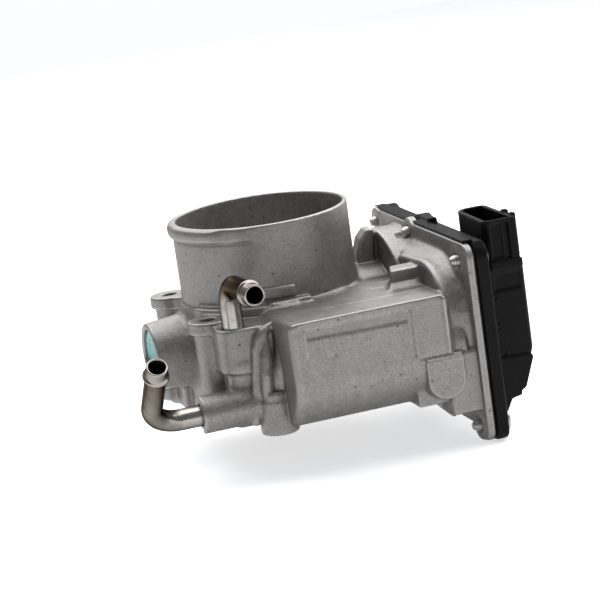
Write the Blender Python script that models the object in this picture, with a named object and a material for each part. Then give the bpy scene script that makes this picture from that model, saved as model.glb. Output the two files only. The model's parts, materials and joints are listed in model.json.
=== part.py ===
"""Electronic throttle body: cast housing, butterfly valve, two-stage gear drive, motor and gear cover.

Frame: +Z runs up the air bore towards the inlet, +X along the throttle shaft towards the gear case, and
-Y towards the motor. Everything is modelled from the point where the bore's axis crosses the shaft's axis.
The finished assembly is then moved as one, so that its box stands on Z = 0 and is centred on the origin.
Dimensions below are in millimetres; the mesh helpers turn them into metres.
"""

import math

import bmesh
import bpy
from mathutils import Matrix, Vector

MM = 0.001
TAU = 2.0 * math.pi
FIT = 0.3                      # clearance where one piece sits in another
FACE_GAP = 0.1                 # clearance between two flat faces that meet
OVERLAP = 0.5                  # how far joined shapes run into each other

# Air bore and inlet tube
BORE_R = 35.0
RIM_BORE_R = 35.5
TUBE_R = 38.0
TUBE_FOOT_R = 39.2
INLET_Z = 54.0
BASE_Z = -30.0
BEAD_R = 39.3
BEAD_Z = (47.6, 53.2)
BEAD_ARC = (95.0, 268.0)       # degrees round the bore, from +X towards +Y

# Manifold fixing lugs
LUG_X, LUG_Y = 37.0, 32.0
LUG_R, LUG_COLUMN_R, LUG_HOLE_R = 8.6, 6.6, 3.3
LUG_TOP_Z, LUG_EAR_H = 18.3, 5.2
BLIND_FIXING_DEPTH = 20.0

# Throttle shaft, plate and bearings
SHAFT_R = 5.0
SHAFT_X = (-49.0, 68.6)
PLATE_R, PLATE_T = 34.75, 2.0
REST_TILT = 10.0               # plate angle from the bore's cross-section in the unpowered position, degrees
PLATE_SCREW_X = 18.0
PLATE_SCREW_R, PLATE_SCREW_HEAD_R, PLATE_SCREW_HEAD_H = 1.8, 3.2, 1.8
LEFT_BOSS_X, LEFT_BOSS_R, LEFT_BOSS_ROOT_R = -56.6, 14.1, 14.8
PLUG_R, PLUG_X = 11.4, (-55.2, -51.2)
NEEDLE_R, NEEDLE_X = 8.0, (-50.6, -40.8)
LEFT_SEAL_X = (-40.2, -37.4)
RIGHT_BOSS_R, RIGHT_BOSS_X = 22.5, 52.0
BALL_R, BALL_X, BALL_COUNT = 11.0, (44.0, 50.0), 8
OUTER_RACE_R, INNER_RACE_R = 9.4, 6.9
RIGHT_SEAL_R, RIGHT_SEAL_X = 8.0, (39.0, 42.0)

# Gear train
SECTOR_TEETH, SECTOR_MODULE, SECTOR_X = 56, 1.0, (63.8, 68.4)
SECTOR_ARC = (88.0, 192.0)     # toothed arc, degrees from +Y towards +Z
SECTOR_HUB_R, SECTOR_HUB_X = 12.0, (62.4, 74.0)
IDLER_PINION_TEETH, IDLER_PINION_X = 14, (62.6, 68.8)
IDLER_WHEEL_TEETH, WHEEL_MODULE, IDLER_WHEEL_X = 50, 0.8, (59.0, 62.8)
MOTOR_PINION_TEETH, MOTOR_PINION_X = 13, (58.9, 63.4)
ADDENDUM, DEDENDUM = 0.8, 1.1  # in modules
BACKLASH = 0.14
MOTOR_AXIS = (-59.0, -5.3)     # y, z
IDLER_PIN_R, IDLER_PIN_X = 3.0, (48.5, 75.0)
MAGNET_RING_R, SENSOR_R = (6.6, 9.2), 5.6
SPRING_R, SPRING_WIRE_R, SPRING_TURNS = 12.2, 0.75, 4.5
SPRING_X = (54.6, 61.2)

# Motor
MOTOR_CAVITY_R, MOTOR_WALL_R = 16.9, 19.4
MOTOR_CAN_R, MOTOR_CAN_T, MOTOR_CAN_X = 16.2, 1.6, (-8.0, 50.0)
MAGNET_R, MAGNET_X = (12.1, 14.3), (0.0, 40.0)
CORE_R, CORE_X, CORE_SLOTS = 11.5, (4.0, 36.0), 10
SLOT_R, SLOT_RING = 1.9, 8.3
COMMUTATOR_R, COMMUTATOR_X = 5.6, (40.0, 47.0)
MOTOR_SHAFT_R, MOTOR_SHAFT_X = 2.0, (-6.0, 63.8)
MOTOR_BUSH_R, MAGNET_ARC, BRUSH_LENGTH = 4.0, 130.0, 6.5
END_PLATE_X = (50.1, 56.4)
BAR_X = (57.3, 58.4)            # the end plate's fixing bar, on the case floor
MOTOR_SCREW_RING, MOTOR_SCREW_R = 20.8, 1.5
COVER_SCREW_R = 2.5
COVER_SCREW_HEAD = (4.4, 1.9)    # radius, height

# Motor housing
HOUSING_R = 21.3
HOUSING_X = (-13.8, 56.0)
CREST_Z = 19.8
HOUSING_FRONT_Y = -80.3

# Gear case and cover
CASE_FLANGE_X = (62.0, 65.2)
CASE_WALL_X = 53.2
CASE_FLOOR_X = 57.2
CHAMBER_X = (50.0, 53.4)
CHAMBER_R, CHAMBER_WALL = 31.0, 3.4
FLANGE_CORNERS = (             # y, z, corner radius
    (-82.0, 38.2, 6.0),
    (37.8, 38.2, 5.0),
    (37.8, -26.0, 10.0),
    (24.0, -38.0, 10.0),
    (-42.0, -38.0, 8.0),
    (-56.0, -45.6, 8.0),
    (-82.0, -45.6, 5.0),
)
CASE_CORNERS = (               # the case wall behind the flange
    (-76.0, 30.4, 26.0),
    (30.0, 30.4, 13.0),
    (30.0, -22.0, 10.0),
    (20.0, -30.5, 10.0),
    (-42.0, -30.5, 8.0),
    (-55.0, -37.5, 8.0),
    (-76.0, -37.5, 8.0),
)
CASE_DRAFT = 4.0
CASE_WALL_T = 3.5
COVER_SCREWS = ((30.5, 32.6), (-12.6, 34.2), (-70.0, 30.2), (-72.5, -39.8), (-20.0, -33.5), (28.5, -28.5))
SCREW_EAR_R = 6.2
COVER_RIM_X = (66.1, 71.3)
COVER_EAR_X = 72.4              # the bosses under the screw heads stand proud of the rim
COVER_T = 2.6
RIM_ROOF_X = 69.2              # inside of the rim
DOME_Y = (-72.0, 23.5)
DOME_ROOF_X = 90.3
DOME_PROFILE = (               # x, z, corner radius, seen along the dome's length
    (66.6, 25.8, 1.0),
    (DOME_ROOF_X, 25.8, 2.5),
    (DOME_ROOF_X, -12.0, 3.0),
    (84.2, -29.2, 3.0),
    (66.6, -29.2, 1.0),
)
SOCKET_X, SOCKET_Y, SOCKET_Z = (74.6, 89.3), (-71.8, -35.0), (24.0, 44.2)
SOCKET_WALL = 1.9
SOCKET_FLOOR_Z = 28.5
TERMINALS = 6
TERMINAL_PITCH, TERMINAL_W, TERMINAL_T, TERMINAL_TOP_Z = 4.6, 1.4, 0.7, 39.0

# Coolant passages and pipes
PIPE_R, PIPE_BORE_R, PIPE_BEAD_R = 4.5, 3.5, 5.5
BEAD_FROM_MOUTH, BEAD_LENGTH = 4.6, 3.2
PIPE_BEND_R = 9.5
UPPER_PIPE_AT = (-30.5, -47.5)
UPPER_PIPE_TOP_Z, UPPER_PIPE_REACH, UPPER_PIPE_DRIFT = 35.2, 33.5, 2.2
LOWER_PIPE_AXIS = (-49.5, -16.8)   # y, z
LOWER_PIPE_CORNER_X, LOWER_PIPE_MOUTH_X = -72.0, -71.2
LOWER_PIPE_RISE_DEG, LOWER_PIPE_LENGTH = 48.0, 41.0
LOWER_BOSS_R, LOWER_BOSS_X = 7.9, (-50.4, -24.0)
BLOCK_X, BLOCK_Y, BLOCK_Z = (-38.0, -6.0), (-54.0, -34.0), (-2.0, 16.4)
FOOT_BOSS_AT, FOOT_BOSS_R, FOOT_BOSS_Z = (-18.7, -54.5), 9.2, (-29.2, -13.0)
COLUMN_R, COLUMN_TOP_Z = 6.6, 11.0
COOLANT_BORE_R = 3.4


# ---------------------------------------------------------------- mesh helpers

def clear_scene():
    for obj in list(bpy.data.objects):
        bpy.data.objects.remove(obj, do_unlink=True)


def make_object(name, bm):
    """A scene object from a bmesh in millimetres, with its faces pointing out."""
    bmesh.ops.scale(bm, vec=(MM, MM, MM), verts=bm.verts)
    bmesh.ops.recalc_face_normals(bm, faces=bm.faces)
    mesh = bpy.data.meshes.new(name)
    bm.to_mesh(mesh)
    bm.free()
    obj = bpy.data.objects.new(name, mesh)
    bpy.context.scene.collection.objects.link(obj)
    return obj


def loft(name, rings, closed=False):
    """A solid through rings of points. Closed joins the last ring to the first, else both ends are capped."""
    bm = bmesh.new()
    loops = [[bm.verts.new(point) for point in ring] for ring in rings]
    pairs = list(zip(loops, loops[1:]))
    if closed:
        pairs.append((loops[-1], loops[0]))
    else:
        bm.faces.new(loops[0])
        bm.faces.new(loops[-1])
    for first, second in pairs:
        count = len(first)
        for i in range(count):
            j = (i + 1) % count
            bm.faces.new((first[i], first[j], second[j], second[i]))
    return make_object(name, bm)


def on_axis(axis, centre, along, u, v):
    """A point at distance along the named axis, with u and v on the two others, offset by centre."""
    a, b = centre[0] + u, centre[1] + v
    return {"x": (along, a, b), "y": (a, along, b), "z": (a, b, along)}[axis]


def circle(radius, count, start=0.0):
    return [
        (radius * math.cos(start + TAU * i / count), radius * math.sin(start + TAU * i / count))
        for i in range(count)
    ]


def turned(name, axis, profile, centre=(0.0, 0.0), count=24):
    """A solid of revolution about a line along the named axis; profile holds (along, radius) pairs."""
    rings = [
        [on_axis(axis, centre, along, u, v) for u, v in circle(radius, count, TAU / count / 2)]
        for along, radius in profile
    ]
    return loft(name, rings)


def cylinder(name, axis, radius, span, centre=(0.0, 0.0), count=24):
    return turned(name, axis, [(span[0], radius), (span[1], radius)], centre, count)


def ring(name, axis, radii, span, centre=(0.0, 0.0), count=24):
    """A plain tube: radii are (inner, outer)."""
    corners = ((span[0], radii[0]), (span[1], radii[0]), (span[1], radii[1]), (span[0], radii[1]))
    rings = [
        [on_axis(axis, centre, along, u, v) for u, v in circle(radius, count, TAU / count / 2)]
        for along, radius in corners
    ]
    return loft(name, rings, closed=True)


def arc_block(name, axis, radii, span, arc, centre=(0.0, 0.0), count=16):
    """A piece of a tube between two angles in degrees."""
    angles = [math.radians(arc[0] + (arc[1] - arc[0]) * i / count) for i in range(count + 1)]
    sections = []
    for angle in angles:
        section = ((span[0], radii[0]), (span[1], radii[0]), (span[1], radii[1]), (span[0], radii[1]))
        sections.append([
            on_axis(axis, centre, along, radius * math.cos(angle), radius * math.sin(angle))
            for along, radius in section
        ])
    return loft(name, sections)


def prism(name, axis, outline, span, outline_end=None):
    """An outline in the plane across the axis, extruded over the span, or lofted to a second outline."""
    far = outline_end or outline
    return loft(name, [
        [on_axis(axis, (0.0, 0.0), span[0], u, v) for u, v in outline],
        [on_axis(axis, (0.0, 0.0), span[1], u, v) for u, v in far],
    ])


def box(name, xs, ys, zs):
    return prism(name, "z", [(xs[0], ys[0]), (xs[1], ys[0]), (xs[1], ys[1]), (xs[0], ys[1])], zs)


def inset(corners, distance):
    """The corners of a counterclockwise or clockwise outline moved inwards, each radius shrunk to suit."""
    points = [Vector(corner[:2]) for corner in corners]
    count = len(points)
    turn = sum(points[i].x * points[(i + 1) % count].y - points[(i + 1) % count].x * points[i].y
               for i in range(count))
    side = 1.0 if turn > 0 else -1.0
    moved = []
    for i, corner in enumerate(corners):
        before = (points[i] - points[i - 1]).normalized()
        after = (points[(i + 1) % count] - points[i]).normalized()
        normal_before = Vector((-before.y, before.x)) * side
        normal_after = Vector((-after.y, after.x)) * side
        bisector = (normal_before + normal_after).normalized()
        shift = bisector * (distance / bisector.dot(normal_after))
        moved.append((points[i].x + shift.x, points[i].y + shift.y, max(1.0, corner[2] - distance)))
    return moved


def rounded(corners, steps=3):
    """An outline with each (u, v, radius) corner rounded by an arc."""
    points = [Vector(corner[:2]) for corner in corners]
    outline = []
    for i, corner in enumerate(corners):
        to_before = (points[i - 1] - points[i]).normalized()
        to_after = (points[(i + 1) % len(points)] - points[i]).normalized()
        half = to_before.angle(to_after) / 2
        start = points[i] + to_before * (corner[2] / math.tan(half))
        centre = points[i] + (to_before + to_after).normalized() * (corner[2] / math.sin(half))
        spoke = start - centre
        sweep = math.pi - 2 * half
        sign = 1.0 if to_before.x * to_after.y - to_before.y * to_after.x < 0 else -1.0
        for k in range(steps + 1):
            turn = Matrix.Rotation(sign * sweep * k / steps, 2)
            point = centre + turn @ spoke
            outline.append((point.x, point.y))
    return outline


def swept(name, path, radii, count=16):
    """A round bar along a path of points, with a radius for each point."""
    rings = []
    side = None
    for i, point in enumerate(path):
        tangent = (path[min(i + 1, len(path) - 1)] - path[max(i - 1, 0)]).normalized()
        if side is None:
            side = tangent.orthogonal()
        side = (side - tangent * side.dot(tangent)).normalized()
        across = tangent.cross(side)
        rings.append([tuple(point + side * u + across * v) for u, v in circle(radii[i], count)])
    return loft(name, rings)


def combine(obj, operation, *tools):
    """Boolean union or difference with each tool in turn; the tools are used up."""
    for tool in tools:
        modifier = obj.modifiers.new(operation.lower(), "BOOLEAN")
        modifier.operation = operation
        modifier.solver = "EXACT"
        modifier.object = tool
        evaluated = obj.evaluated_get(bpy.context.evaluated_depsgraph_get())
        mesh = bpy.data.meshes.new_from_object(evaluated)
        obj.modifiers.clear()
        obj.data = mesh
        bpy.data.objects.remove(tool, do_unlink=True)
    return obj


def add(obj, *tools):
    return combine(obj, "UNION", *tools)


def cut(obj, *tools):
    return combine(obj, "DIFFERENCE", *tools)


MATERIALS = {                  # colour, metallic, roughness
    "cast_aluminium": ((0.56, 0.555, 0.545), 0.9, 0.48),
    "bright_steel": ((0.66, 0.65, 0.63), 1.0, 0.22),
    "zinc_steel": ((0.72, 0.72, 0.70), 1.0, 0.3),
    "black_plastic": ((0.018, 0.018, 0.02), 0.0, 0.5),
    "seal_rubber": ((0.03, 0.03, 0.03), 0.0, 0.8),
    "plug_green": ((0.22, 0.42, 0.41), 0.6, 0.35),
    "gear_plastic": ((0.75, 0.72, 0.62), 0.0, 0.45),
    "brass": ((0.72, 0.55, 0.28), 1.0, 0.3),
    "magnet": ((0.10, 0.10, 0.11), 0.3, 0.6),
    "copper": ((0.72, 0.36, 0.2), 1.0, 0.35),
    "board_green": ((0.05, 0.22, 0.12), 0.0, 0.5),
}


def finish(obj, material, parent=None, smooth_angle=32.0):
    """Gives a piece its own material, smooth round faces and, if it moves, its parent empty."""
    colour, metallic, roughness = MATERIALS[material]
    skin = bpy.data.materials.new(f"{obj.name}_{material}")
    skin.use_nodes = True
    shader = skin.node_tree.nodes["Principled BSDF"]
    shader.inputs["Base Color"].default_value = (*colour, 1.0)
    shader.inputs["Metallic"].default_value = metallic
    shader.inputs["Roughness"].default_value = roughness
    obj.data.materials.clear()
    obj.data.materials.append(skin)
    obj.data.shade_smooth()
    obj.data.set_sharp_from_angle(angle=math.radians(smooth_angle))
    if parent:
        obj.parent = parent
    return obj


def pivot(name, centre_yz):
    """An empty on a joint's axis, which runs along X. A child's mesh is measured from that axis."""
    empty = bpy.data.objects.new(name, None)
    empty.location = (0.0, centre_yz[0] * MM, centre_yz[1] * MM)
    bpy.context.scene.collection.objects.link(empty)
    return empty


# ---------------------------------------------------------------- gears

def involute(base_r, radius):
    """The angle that an involute from the base circle has turned through at this radius."""
    if radius <= base_r:
        return 0.0
    pressure = math.acos(base_r / radius)
    return math.tan(pressure) - pressure


def gear_outline(teeth, module, tooth_at=0.0, arc=None, flank_steps=1):
    """A spur gear's outline with a tooth centred on tooth_at, in degrees. arc keeps only part of the teeth."""
    pitch_r = teeth * module / 2
    base_r = pitch_r * math.cos(math.radians(20.0))
    tip_r = pitch_r + ADDENDUM * module
    root_r = pitch_r - DEDENDUM * module
    half_pitch = (math.pi * module / 2 - BACKLASH) / 2 / pitch_r
    half_base = half_pitch + involute(base_r, pitch_r)
    flank_r = max(base_r, root_r)
    radii = [flank_r + (tip_r - flank_r) * k / flank_steps for k in range(flank_steps + 1)]
    flank = [(root_r, half_base)] if root_r < base_r - 0.02 else []
    flank += [(radius, half_base - involute(base_r, radius)) for radius in radii]
    middles = sorted((tooth_at + 360.0 * index / teeth) % 360.0 for index in range(teeth))
    outline = []
    for degrees in middles:
        if arc and not arc[0] < degrees < arc[1]:
            continue
        middle = math.radians(degrees)
        outline += [(r * math.cos(middle - a), r * math.sin(middle - a)) for r, a in flank]
        outline += [(r * math.cos(middle + a), r * math.sin(middle + a)) for r, a in reversed(flank)]
    return outline


def sector_outline(tooth_at):
    """The toothed arc, closed through a point on the far side of the hub's centre."""
    teeth = gear_outline(SECTOR_TEETH, SECTOR_MODULE, tooth_at, SECTOR_ARC)
    return teeth + [(-1.5, -3.0), (3.0, 1.0)]


def idler_centre():
    """Where the idler's axis sits so that it meshes with both the sector and the motor pinion."""
    to_sector = (SECTOR_TEETH + IDLER_PINION_TEETH) * SECTOR_MODULE / 2
    to_motor = (IDLER_WHEEL_TEETH + MOTOR_PINION_TEETH) * WHEEL_MODULE / 2
    motor = Vector(MOTOR_AXIS)
    span = motor.length
    along = (to_sector ** 2 - to_motor ** 2 + span ** 2) / (2 * span)
    aside = math.sqrt(to_sector ** 2 - along ** 2)
    direction = motor.normalized()
    upwards = Vector((direction.y, -direction.x))
    return direction * along + upwards * aside


IDLER_AXIS = tuple(idler_centre())


def heading(start, end):
    """The angle from one centre to another, in degrees from +Y towards +Z."""
    return math.degrees(math.atan2(end[1] - start[1], end[0] - start[0]))


# ---------------------------------------------------------------- cast housing

def tube_shapes():
    """The inlet tube with its hose bead, down to the manifold face."""
    tube = turned("tube", "z", [
        (BASE_Z, TUBE_FOOT_R),
        (16.0, TUBE_FOOT_R),
        (20.0, TUBE_R + 0.3),
        (INLET_Z - 0.8, TUBE_R),
        (INLET_Z, TUBE_R - 0.7),
    ], count=56)
    bead = arc_block("bead", "z", (BORE_R + 1.0, BEAD_R), BEAD_Z, BEAD_ARC, count=26)
    pad = arc_block("tube_pad", "z", (BORE_R + 1.0, TUBE_R + 2.2), (23.6, 27.2), (248.0, 271.0), count=6)
    collar = arc_block("collar", "z", (BORE_R + 1.0, 42.6), (10.0, 20.6), (205.0, 300.0), count=10)
    step = arc_block("step", "z", (BORE_R + 1.0, 47.0), (8.0, 18.0), (232.0, 285.0), count=7)
    return tube, [bead, pad, collar, step]


def lug_shapes():
    """Four fixing lugs with their columns, joined to the tube by webs."""
    shapes = []
    for side_x in (-1, 1):
        for side_y in (-1, 1):
            centre = (side_x * LUG_X, side_y * LUG_Y)
            name = f"lug_{side_x}_{side_y}"
            ear = (LUG_TOP_Z - LUG_EAR_H, LUG_TOP_Z)
            column = (BASE_Z, ear[0] + OVERLAP)
            shapes.append(cylinder(name + "_column", "z", LUG_COLUMN_R, column, centre, 16))
            shapes.append(cylinder(name + "_ear", "z", LUG_R, ear, centre, 20))
            inner = Vector(centre) * 0.72
            across = Vector((-centre[1], centre[0])).normalized() * (LUG_COLUMN_R - 1.2)
            corners = [Vector(centre) + across, Vector(centre) - across, inner - across, inner + across]
            web = (BASE_Z + 0.4, ear[0] + 2.0)
            shapes.append(prism(name + "_web", "z", [tuple(c) for c in corners], web))
            wide = Vector((-centre[1], centre[0])).normalized() * (LUG_R - 0.8)
            corners = [Vector(centre) + wide, Vector(centre) - wide, inner - wide, inner + wide]
            gusset = (ear[0] + 0.2, ear[1] - 0.2)
            shapes.append(prism(name + "_gusset", "z", [tuple(c) for c in corners], gusset))
    return shapes


def inset_about(section, centre, shrink):
    return [(centre[0] + (u - centre[0]) * shrink, centre[1] + (v - centre[1]) * shrink) for u, v in section]


def motor_section():
    """The motor housing's section across X: a round belly, a flat front and a square shoulder."""
    y, z = MOTOR_AXIS
    belly = [
        (y + HOUSING_R * math.cos(a), z + HOUSING_R * math.sin(a))
        for a in (math.radians(180 + 180 * i / 14) for i in range(15))
    ]
    crest_r = 2.0
    crest = [
        (HOUSING_FRONT_Y + crest_r - crest_r * math.cos(a), CREST_Z - crest_r + crest_r * math.sin(a))
        for a in (math.radians(90 - 90 * i / 4) for i in range(5))
    ]
    return belly + [(-30.0, z), (-30.0, CREST_Z - 1.6)] + crest


def housing_shapes():
    """The motor housing, the bosses round it and the coolant passages' bosses."""
    section = motor_section()
    shapes = [loft("motor_housing", [
        [(x, y, z) for y, z in inset_about(section, MOTOR_AXIS, shrink)]
        for x, shrink in ((HOUSING_X[0], 0.87), (HOUSING_X[0] + 1.2, 0.95), (HOUSING_X[0] + 3.4, 1.0),
                          (HOUSING_X[1], 1.0))
    ])]
    shapes.append(box("front_ledge", (36.5, 55.8), (-80.9, -50.0), (-4.2, 12.0)))
    pad = [(39.2, -4.6), (55.6, -4.6), (55.6, -15.4)]
    pad += [(47.4 + 8.2 * math.cos(a), -15.4 + 8.2 * math.sin(a))
            for a in (math.radians(-180 * i / 7) for i in range(1, 8))]
    shapes.append(prism("round_pad", "y", pad, (-82.2, -56.0)))
    shapes.append(box("foot_block", (34.8, 51.4), (-72.0, -46.0), (-28.0, -14.0)))
    shapes.append(prism("lower_web", "y", [(45.0, -20.0), (62.5, -20.0), (62.5, -38.5), (59.0, -36.4)],
                        (-66.0, -60.0)))
    wall = (HOUSING_X[1] - 6.0, CASE_FLOOR_X + 2.4)
    shapes.append(cylinder("motor_wall", "x", MOTOR_WALL_R, wall, MOTOR_AXIS, 32))
    boss = (44.0, CASE_WALL_X + 2.0)
    shapes.append(cylinder("motor_screw_boss", "x", 4.2, boss, motor_screw_centres()[1], 16))
    shapes.append(cylinder("upper_rib", "z", 1.6, (-4.0, CREST_Z - 2.5), (50.5, -79.4), 8))
    return shapes


def coolant_shapes():
    """The passages' bosses at the front left, round the two pipes."""
    at = UPPER_PIPE_AT
    block = rounded([
        (BLOCK_X[0], BLOCK_Y[1], 1.0),
        (BLOCK_X[1], BLOCK_Y[1], 1.0),
        (BLOCK_X[1], BLOCK_Y[0], 2.0),
        (BLOCK_X[0], BLOCK_Y[0], 6.5),
    ], 4)
    return [
        prism("coolant_block", "z", block, BLOCK_Z),
        cylinder("lower_boss", "x", LOWER_BOSS_R, LOWER_BOSS_X, LOWER_PIPE_AXIS, 24),
        box("passage_wall", (-34.5, -9.5), (-50.4, -34.5), (-24.0, 2.0)),
        cylinder("pipe_column", "z", 6.0, (-18.0, 4.0), (at[0] + 1.0, at[1] + 0.5), 16),
        cylinder("foot_boss", "z", FOOT_BOSS_R, FOOT_BOSS_Z, FOOT_BOSS_AT, 24),
        turned("column", "z", [(-20.0, COLUMN_R), (COLUMN_TOP_Z - 7.0, COLUMN_R), (COLUMN_TOP_Z - 2.4, 4.9),
                                  (COLUMN_TOP_Z, 2.0)],
               (FOOT_BOSS_AT[0] - 0.6, FOOT_BOSS_AT[1] + 0.4), 16),
        box("column_wall", (-22.0, -11.0), (-58.0, -35.0), (-26.0, 13.0)),
    ]


def shaft_boss_shapes():
    chamber = (CHAMBER_X[0], CASE_FLANGE_X[0] + OVERLAP)
    y, z = IDLER_AXIS
    shapes = [
        turned("left_boss", "x", [(LEFT_BOSS_X, LEFT_BOSS_R - 0.6), (LEFT_BOSS_X + 0.6, LEFT_BOSS_R),
                                  (-33.0, LEFT_BOSS_ROOT_R)], count=28),
        cylinder("right_boss", "x", RIGHT_BOSS_R, (28.0, RIGHT_BOSS_X), count=32),
        turned("chamber", "x", [(chamber[0], CHAMBER_R + CHAMBER_WALL - 2.0),
                                (chamber[0] + 2.0, CHAMBER_R + CHAMBER_WALL),
                                (chamber[1], CHAMBER_R + CHAMBER_WALL)], count=36),
        cylinder("idler_boss", "x", 8.0, (44.0, CASE_WALL_X + 2.0), (y, z), 16),
        prism("bridge_pad", "x", [(-40.5, 12.0), (-21.0, 12.0), (-21.0, 22.4), (-39.0, 23.0), (-40.5, 21.5)],
              (46.8, 60.6)),
        box("bridge", (27.0, 58.0), (-44.0, -6.0), (-20.0, CREST_Z - 2.0)),
    ]
    return shapes


def case_shapes():
    shapes = [
        prism("case_wall", "x", rounded(inset(CASE_CORNERS, CASE_DRAFT)),
              (CASE_WALL_X, CASE_FLANGE_X[0] + OVERLAP), rounded(CASE_CORNERS)),
        prism("case_flange", "x", rounded(FLANGE_CORNERS), CASE_FLANGE_X),
    ]
    for i, (y, z) in enumerate(COVER_SCREWS):
        shapes.append(cylinder(f"screw_ear_{i}", "x", SCREW_EAR_R,
                               (CASE_FLANGE_X[0] - 0.4, CASE_FLANGE_X[1] - 0.05), (y, z), 16))
    return shapes


def shaft_bores():
    """The shaft's way through both bosses, with the bearing, seal and plug seats."""
    left = turned("left_bore", "x", [
        (LEFT_BOSS_X - 1.0, PLUG_R + 0.9),
        (LEFT_BOSS_X + 0.8, PLUG_R + FIT),
        (PLUG_X[1] + 0.2, PLUG_R + FIT),
        (PLUG_X[1] + 0.3, NEEDLE_R + FIT),
        (LEFT_SEAL_X[1] + 0.3, NEEDLE_R + FIT),
        (LEFT_SEAL_X[1] + 0.4, SHAFT_R + FIT),
        (-30.0, SHAFT_R + FIT),
    ], count=24)
    right = turned("right_bore", "x", [
        (30.0, SHAFT_R + FIT),
        (RIGHT_SEAL_X[0] - 0.4, SHAFT_R + FIT),
        (RIGHT_SEAL_X[0] - 0.3, RIGHT_SEAL_R + FIT),
        (BALL_X[0] - 0.4, RIGHT_SEAL_R + FIT),
        (BALL_X[0] - 0.3, BALL_R + FIT),
        (CHAMBER_X[1] + 2.0, BALL_R + FIT),
    ], count=24)
    return [left, right]


def coolant_bores():
    """The pipes' seats and the drilled passage that joins them."""
    x, y = UPPER_PIPE_AT
    low_y, low_z = LOWER_PIPE_AXIS
    return [
        cylinder("upper_seat", "z", PIPE_R + FIT, (4.0, BLOCK_Z[1] + 1.0), (x, y), 16),
        cylinder("upper_drilling", "z", COOLANT_BORE_R, (low_z, 5.0), (x, y - 0.4), 10),
        cylinder("lower_seat", "x", PIPE_R + FIT, (LOWER_BOSS_X[0] - 1.0, -38.0), (low_y, low_z), 16),
        cylinder("lower_drilling", "x", COOLANT_BORE_R, (-39.0, x + 2.0), (low_y, low_z), 10),
    ]


def gear_case_bores():
    """The gear chamber, the motor's bore and every tapped hole that opens into the case."""
    y, z = MOTOR_AXIS
    out = CASE_FLANGE_X[1] + 1.0
    pocket = inset(CASE_CORNERS, CASE_WALL_T)
    shapes = [
        cylinder("sector_chamber", "x", CHAMBER_R, (CHAMBER_X[1], out), count=36),
        prism("case_pocket", "x", rounded(pocket), (CASE_FLOOR_X, out)),
        cylinder("motor_bore", "x", MOTOR_CAVITY_R, (MOTOR_CAN_X[0] - 1.6, CASE_FLOOR_X + 1.0), (y, z), 32),
        cylinder("idler_pin_bore", "x", IDLER_PIN_R + 0.05, (IDLER_PIN_X[0] - 0.5, CASE_FLOOR_X + 1.0),
                 IDLER_AXIS, 14),
    ]
    for i, centre in enumerate(motor_screw_centres()):
        shapes.append(cylinder(f"motor_screw_bore_{i}", "x", MOTOR_SCREW_R + FIT,
                               (48.5, CASE_FLOOR_X + 1.0), centre, 10))
    for i, centre in enumerate(COVER_SCREWS):
        shapes.append(cylinder(f"cover_screw_bore_{i}", "x", COVER_SCREW_R + FIT,
                               (CASE_FLANGE_X[0] - 5.0, out), centre, 10))
    return shapes


def motor_screw_centres():
    y, z = MOTOR_AXIS
    return [(y, z + MOTOR_SCREW_RING), (y, z - MOTOR_SCREW_RING)]


def fixing_holes():
    """Three clear holes down the columns, and a blind one under the motor side's lug."""
    holes = []
    for side_x in (-1, 1):
        for side_y in (-1, 1):
            blind = side_x == 1 and side_y == -1
            top = BASE_Z + BLIND_FIXING_DEPTH if blind else LUG_TOP_Z + 1.0
            holes.append(cylinder(f"fixing_{side_x}_{side_y}", "z", LUG_HOLE_R, (BASE_Z - 1.0, top),
                                  (side_x * LUG_X, side_y * LUG_Y), 14))
    return holes


def build_housing():
    housing, tube_parts = tube_shapes()
    housing.name = "throttle_body"
    add(housing, *lug_shapes(), *housing_shapes(), *coolant_shapes(), *shaft_boss_shapes(), *case_shapes())
    add(housing, *tube_parts)
    bore = turned("bore", "z", [
        (BASE_Z - 1.0, BORE_R),
        (INLET_Z - 9.0, BORE_R),
        (INLET_Z - 8.0, RIM_BORE_R),
        (INLET_Z + 1.0, RIM_BORE_R),
    ], count=64)
    cut(housing, bore, *fixing_holes(), *shaft_bores(), *coolant_bores(), *gear_case_bores())
    finish(housing, "cast_aluminium")


# ---------------------------------------------------------------- throttle group

def build_shaft(parent):
    shaft = turned("throttle_shaft", "x", [
        (SHAFT_X[0], SHAFT_R - 0.5),
        (SHAFT_X[0] + 0.5, SHAFT_R),
        (SHAFT_X[1] - 0.5, SHAFT_R),
        (SHAFT_X[1], SHAFT_R - 0.5),
    ], count=24)
    slot_half = PLATE_T / 2 + FIT
    cut(shaft, box("slot", (-PLATE_R - FIT, PLATE_R + FIT), (-8.0, 8.0), (-slot_half, slot_half)))
    for side in (-1, 1):
        centre = (side * PLATE_SCREW_X, 0.0)
        cut(shaft, cylinder("screw_hole", "z", PLATE_SCREW_R + FIT, (-7.0, 7.0), centre, 10))
        cut(shaft, cylinder("head_seat", "z", PLATE_SCREW_HEAD_R + FIT, (3.6, 7.0), centre, 14))
    shaft.rotation_euler.x = math.radians(REST_TILT)
    finish(shaft, "bright_steel", parent)


def build_plate(parent):
    plate = turned("throttle_plate", "z", [
        (-PLATE_T / 2, PLATE_R - 0.15),
        (-PLATE_T / 2 + 0.3, PLATE_R),
        (PLATE_T / 2 - 0.3, PLATE_R),
        (PLATE_T / 2, PLATE_R - 0.15),
    ], count=64)
    for side in (-1, 1):
        centre = (side * PLATE_SCREW_X, 0.0)
        cut(plate, cylinder("screw_hole", "z", PLATE_SCREW_R + FIT, (-3.0, 3.0), centre, 10))
    plate.rotation_euler.x = math.radians(REST_TILT)
    finish(plate, "brass", parent)


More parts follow.
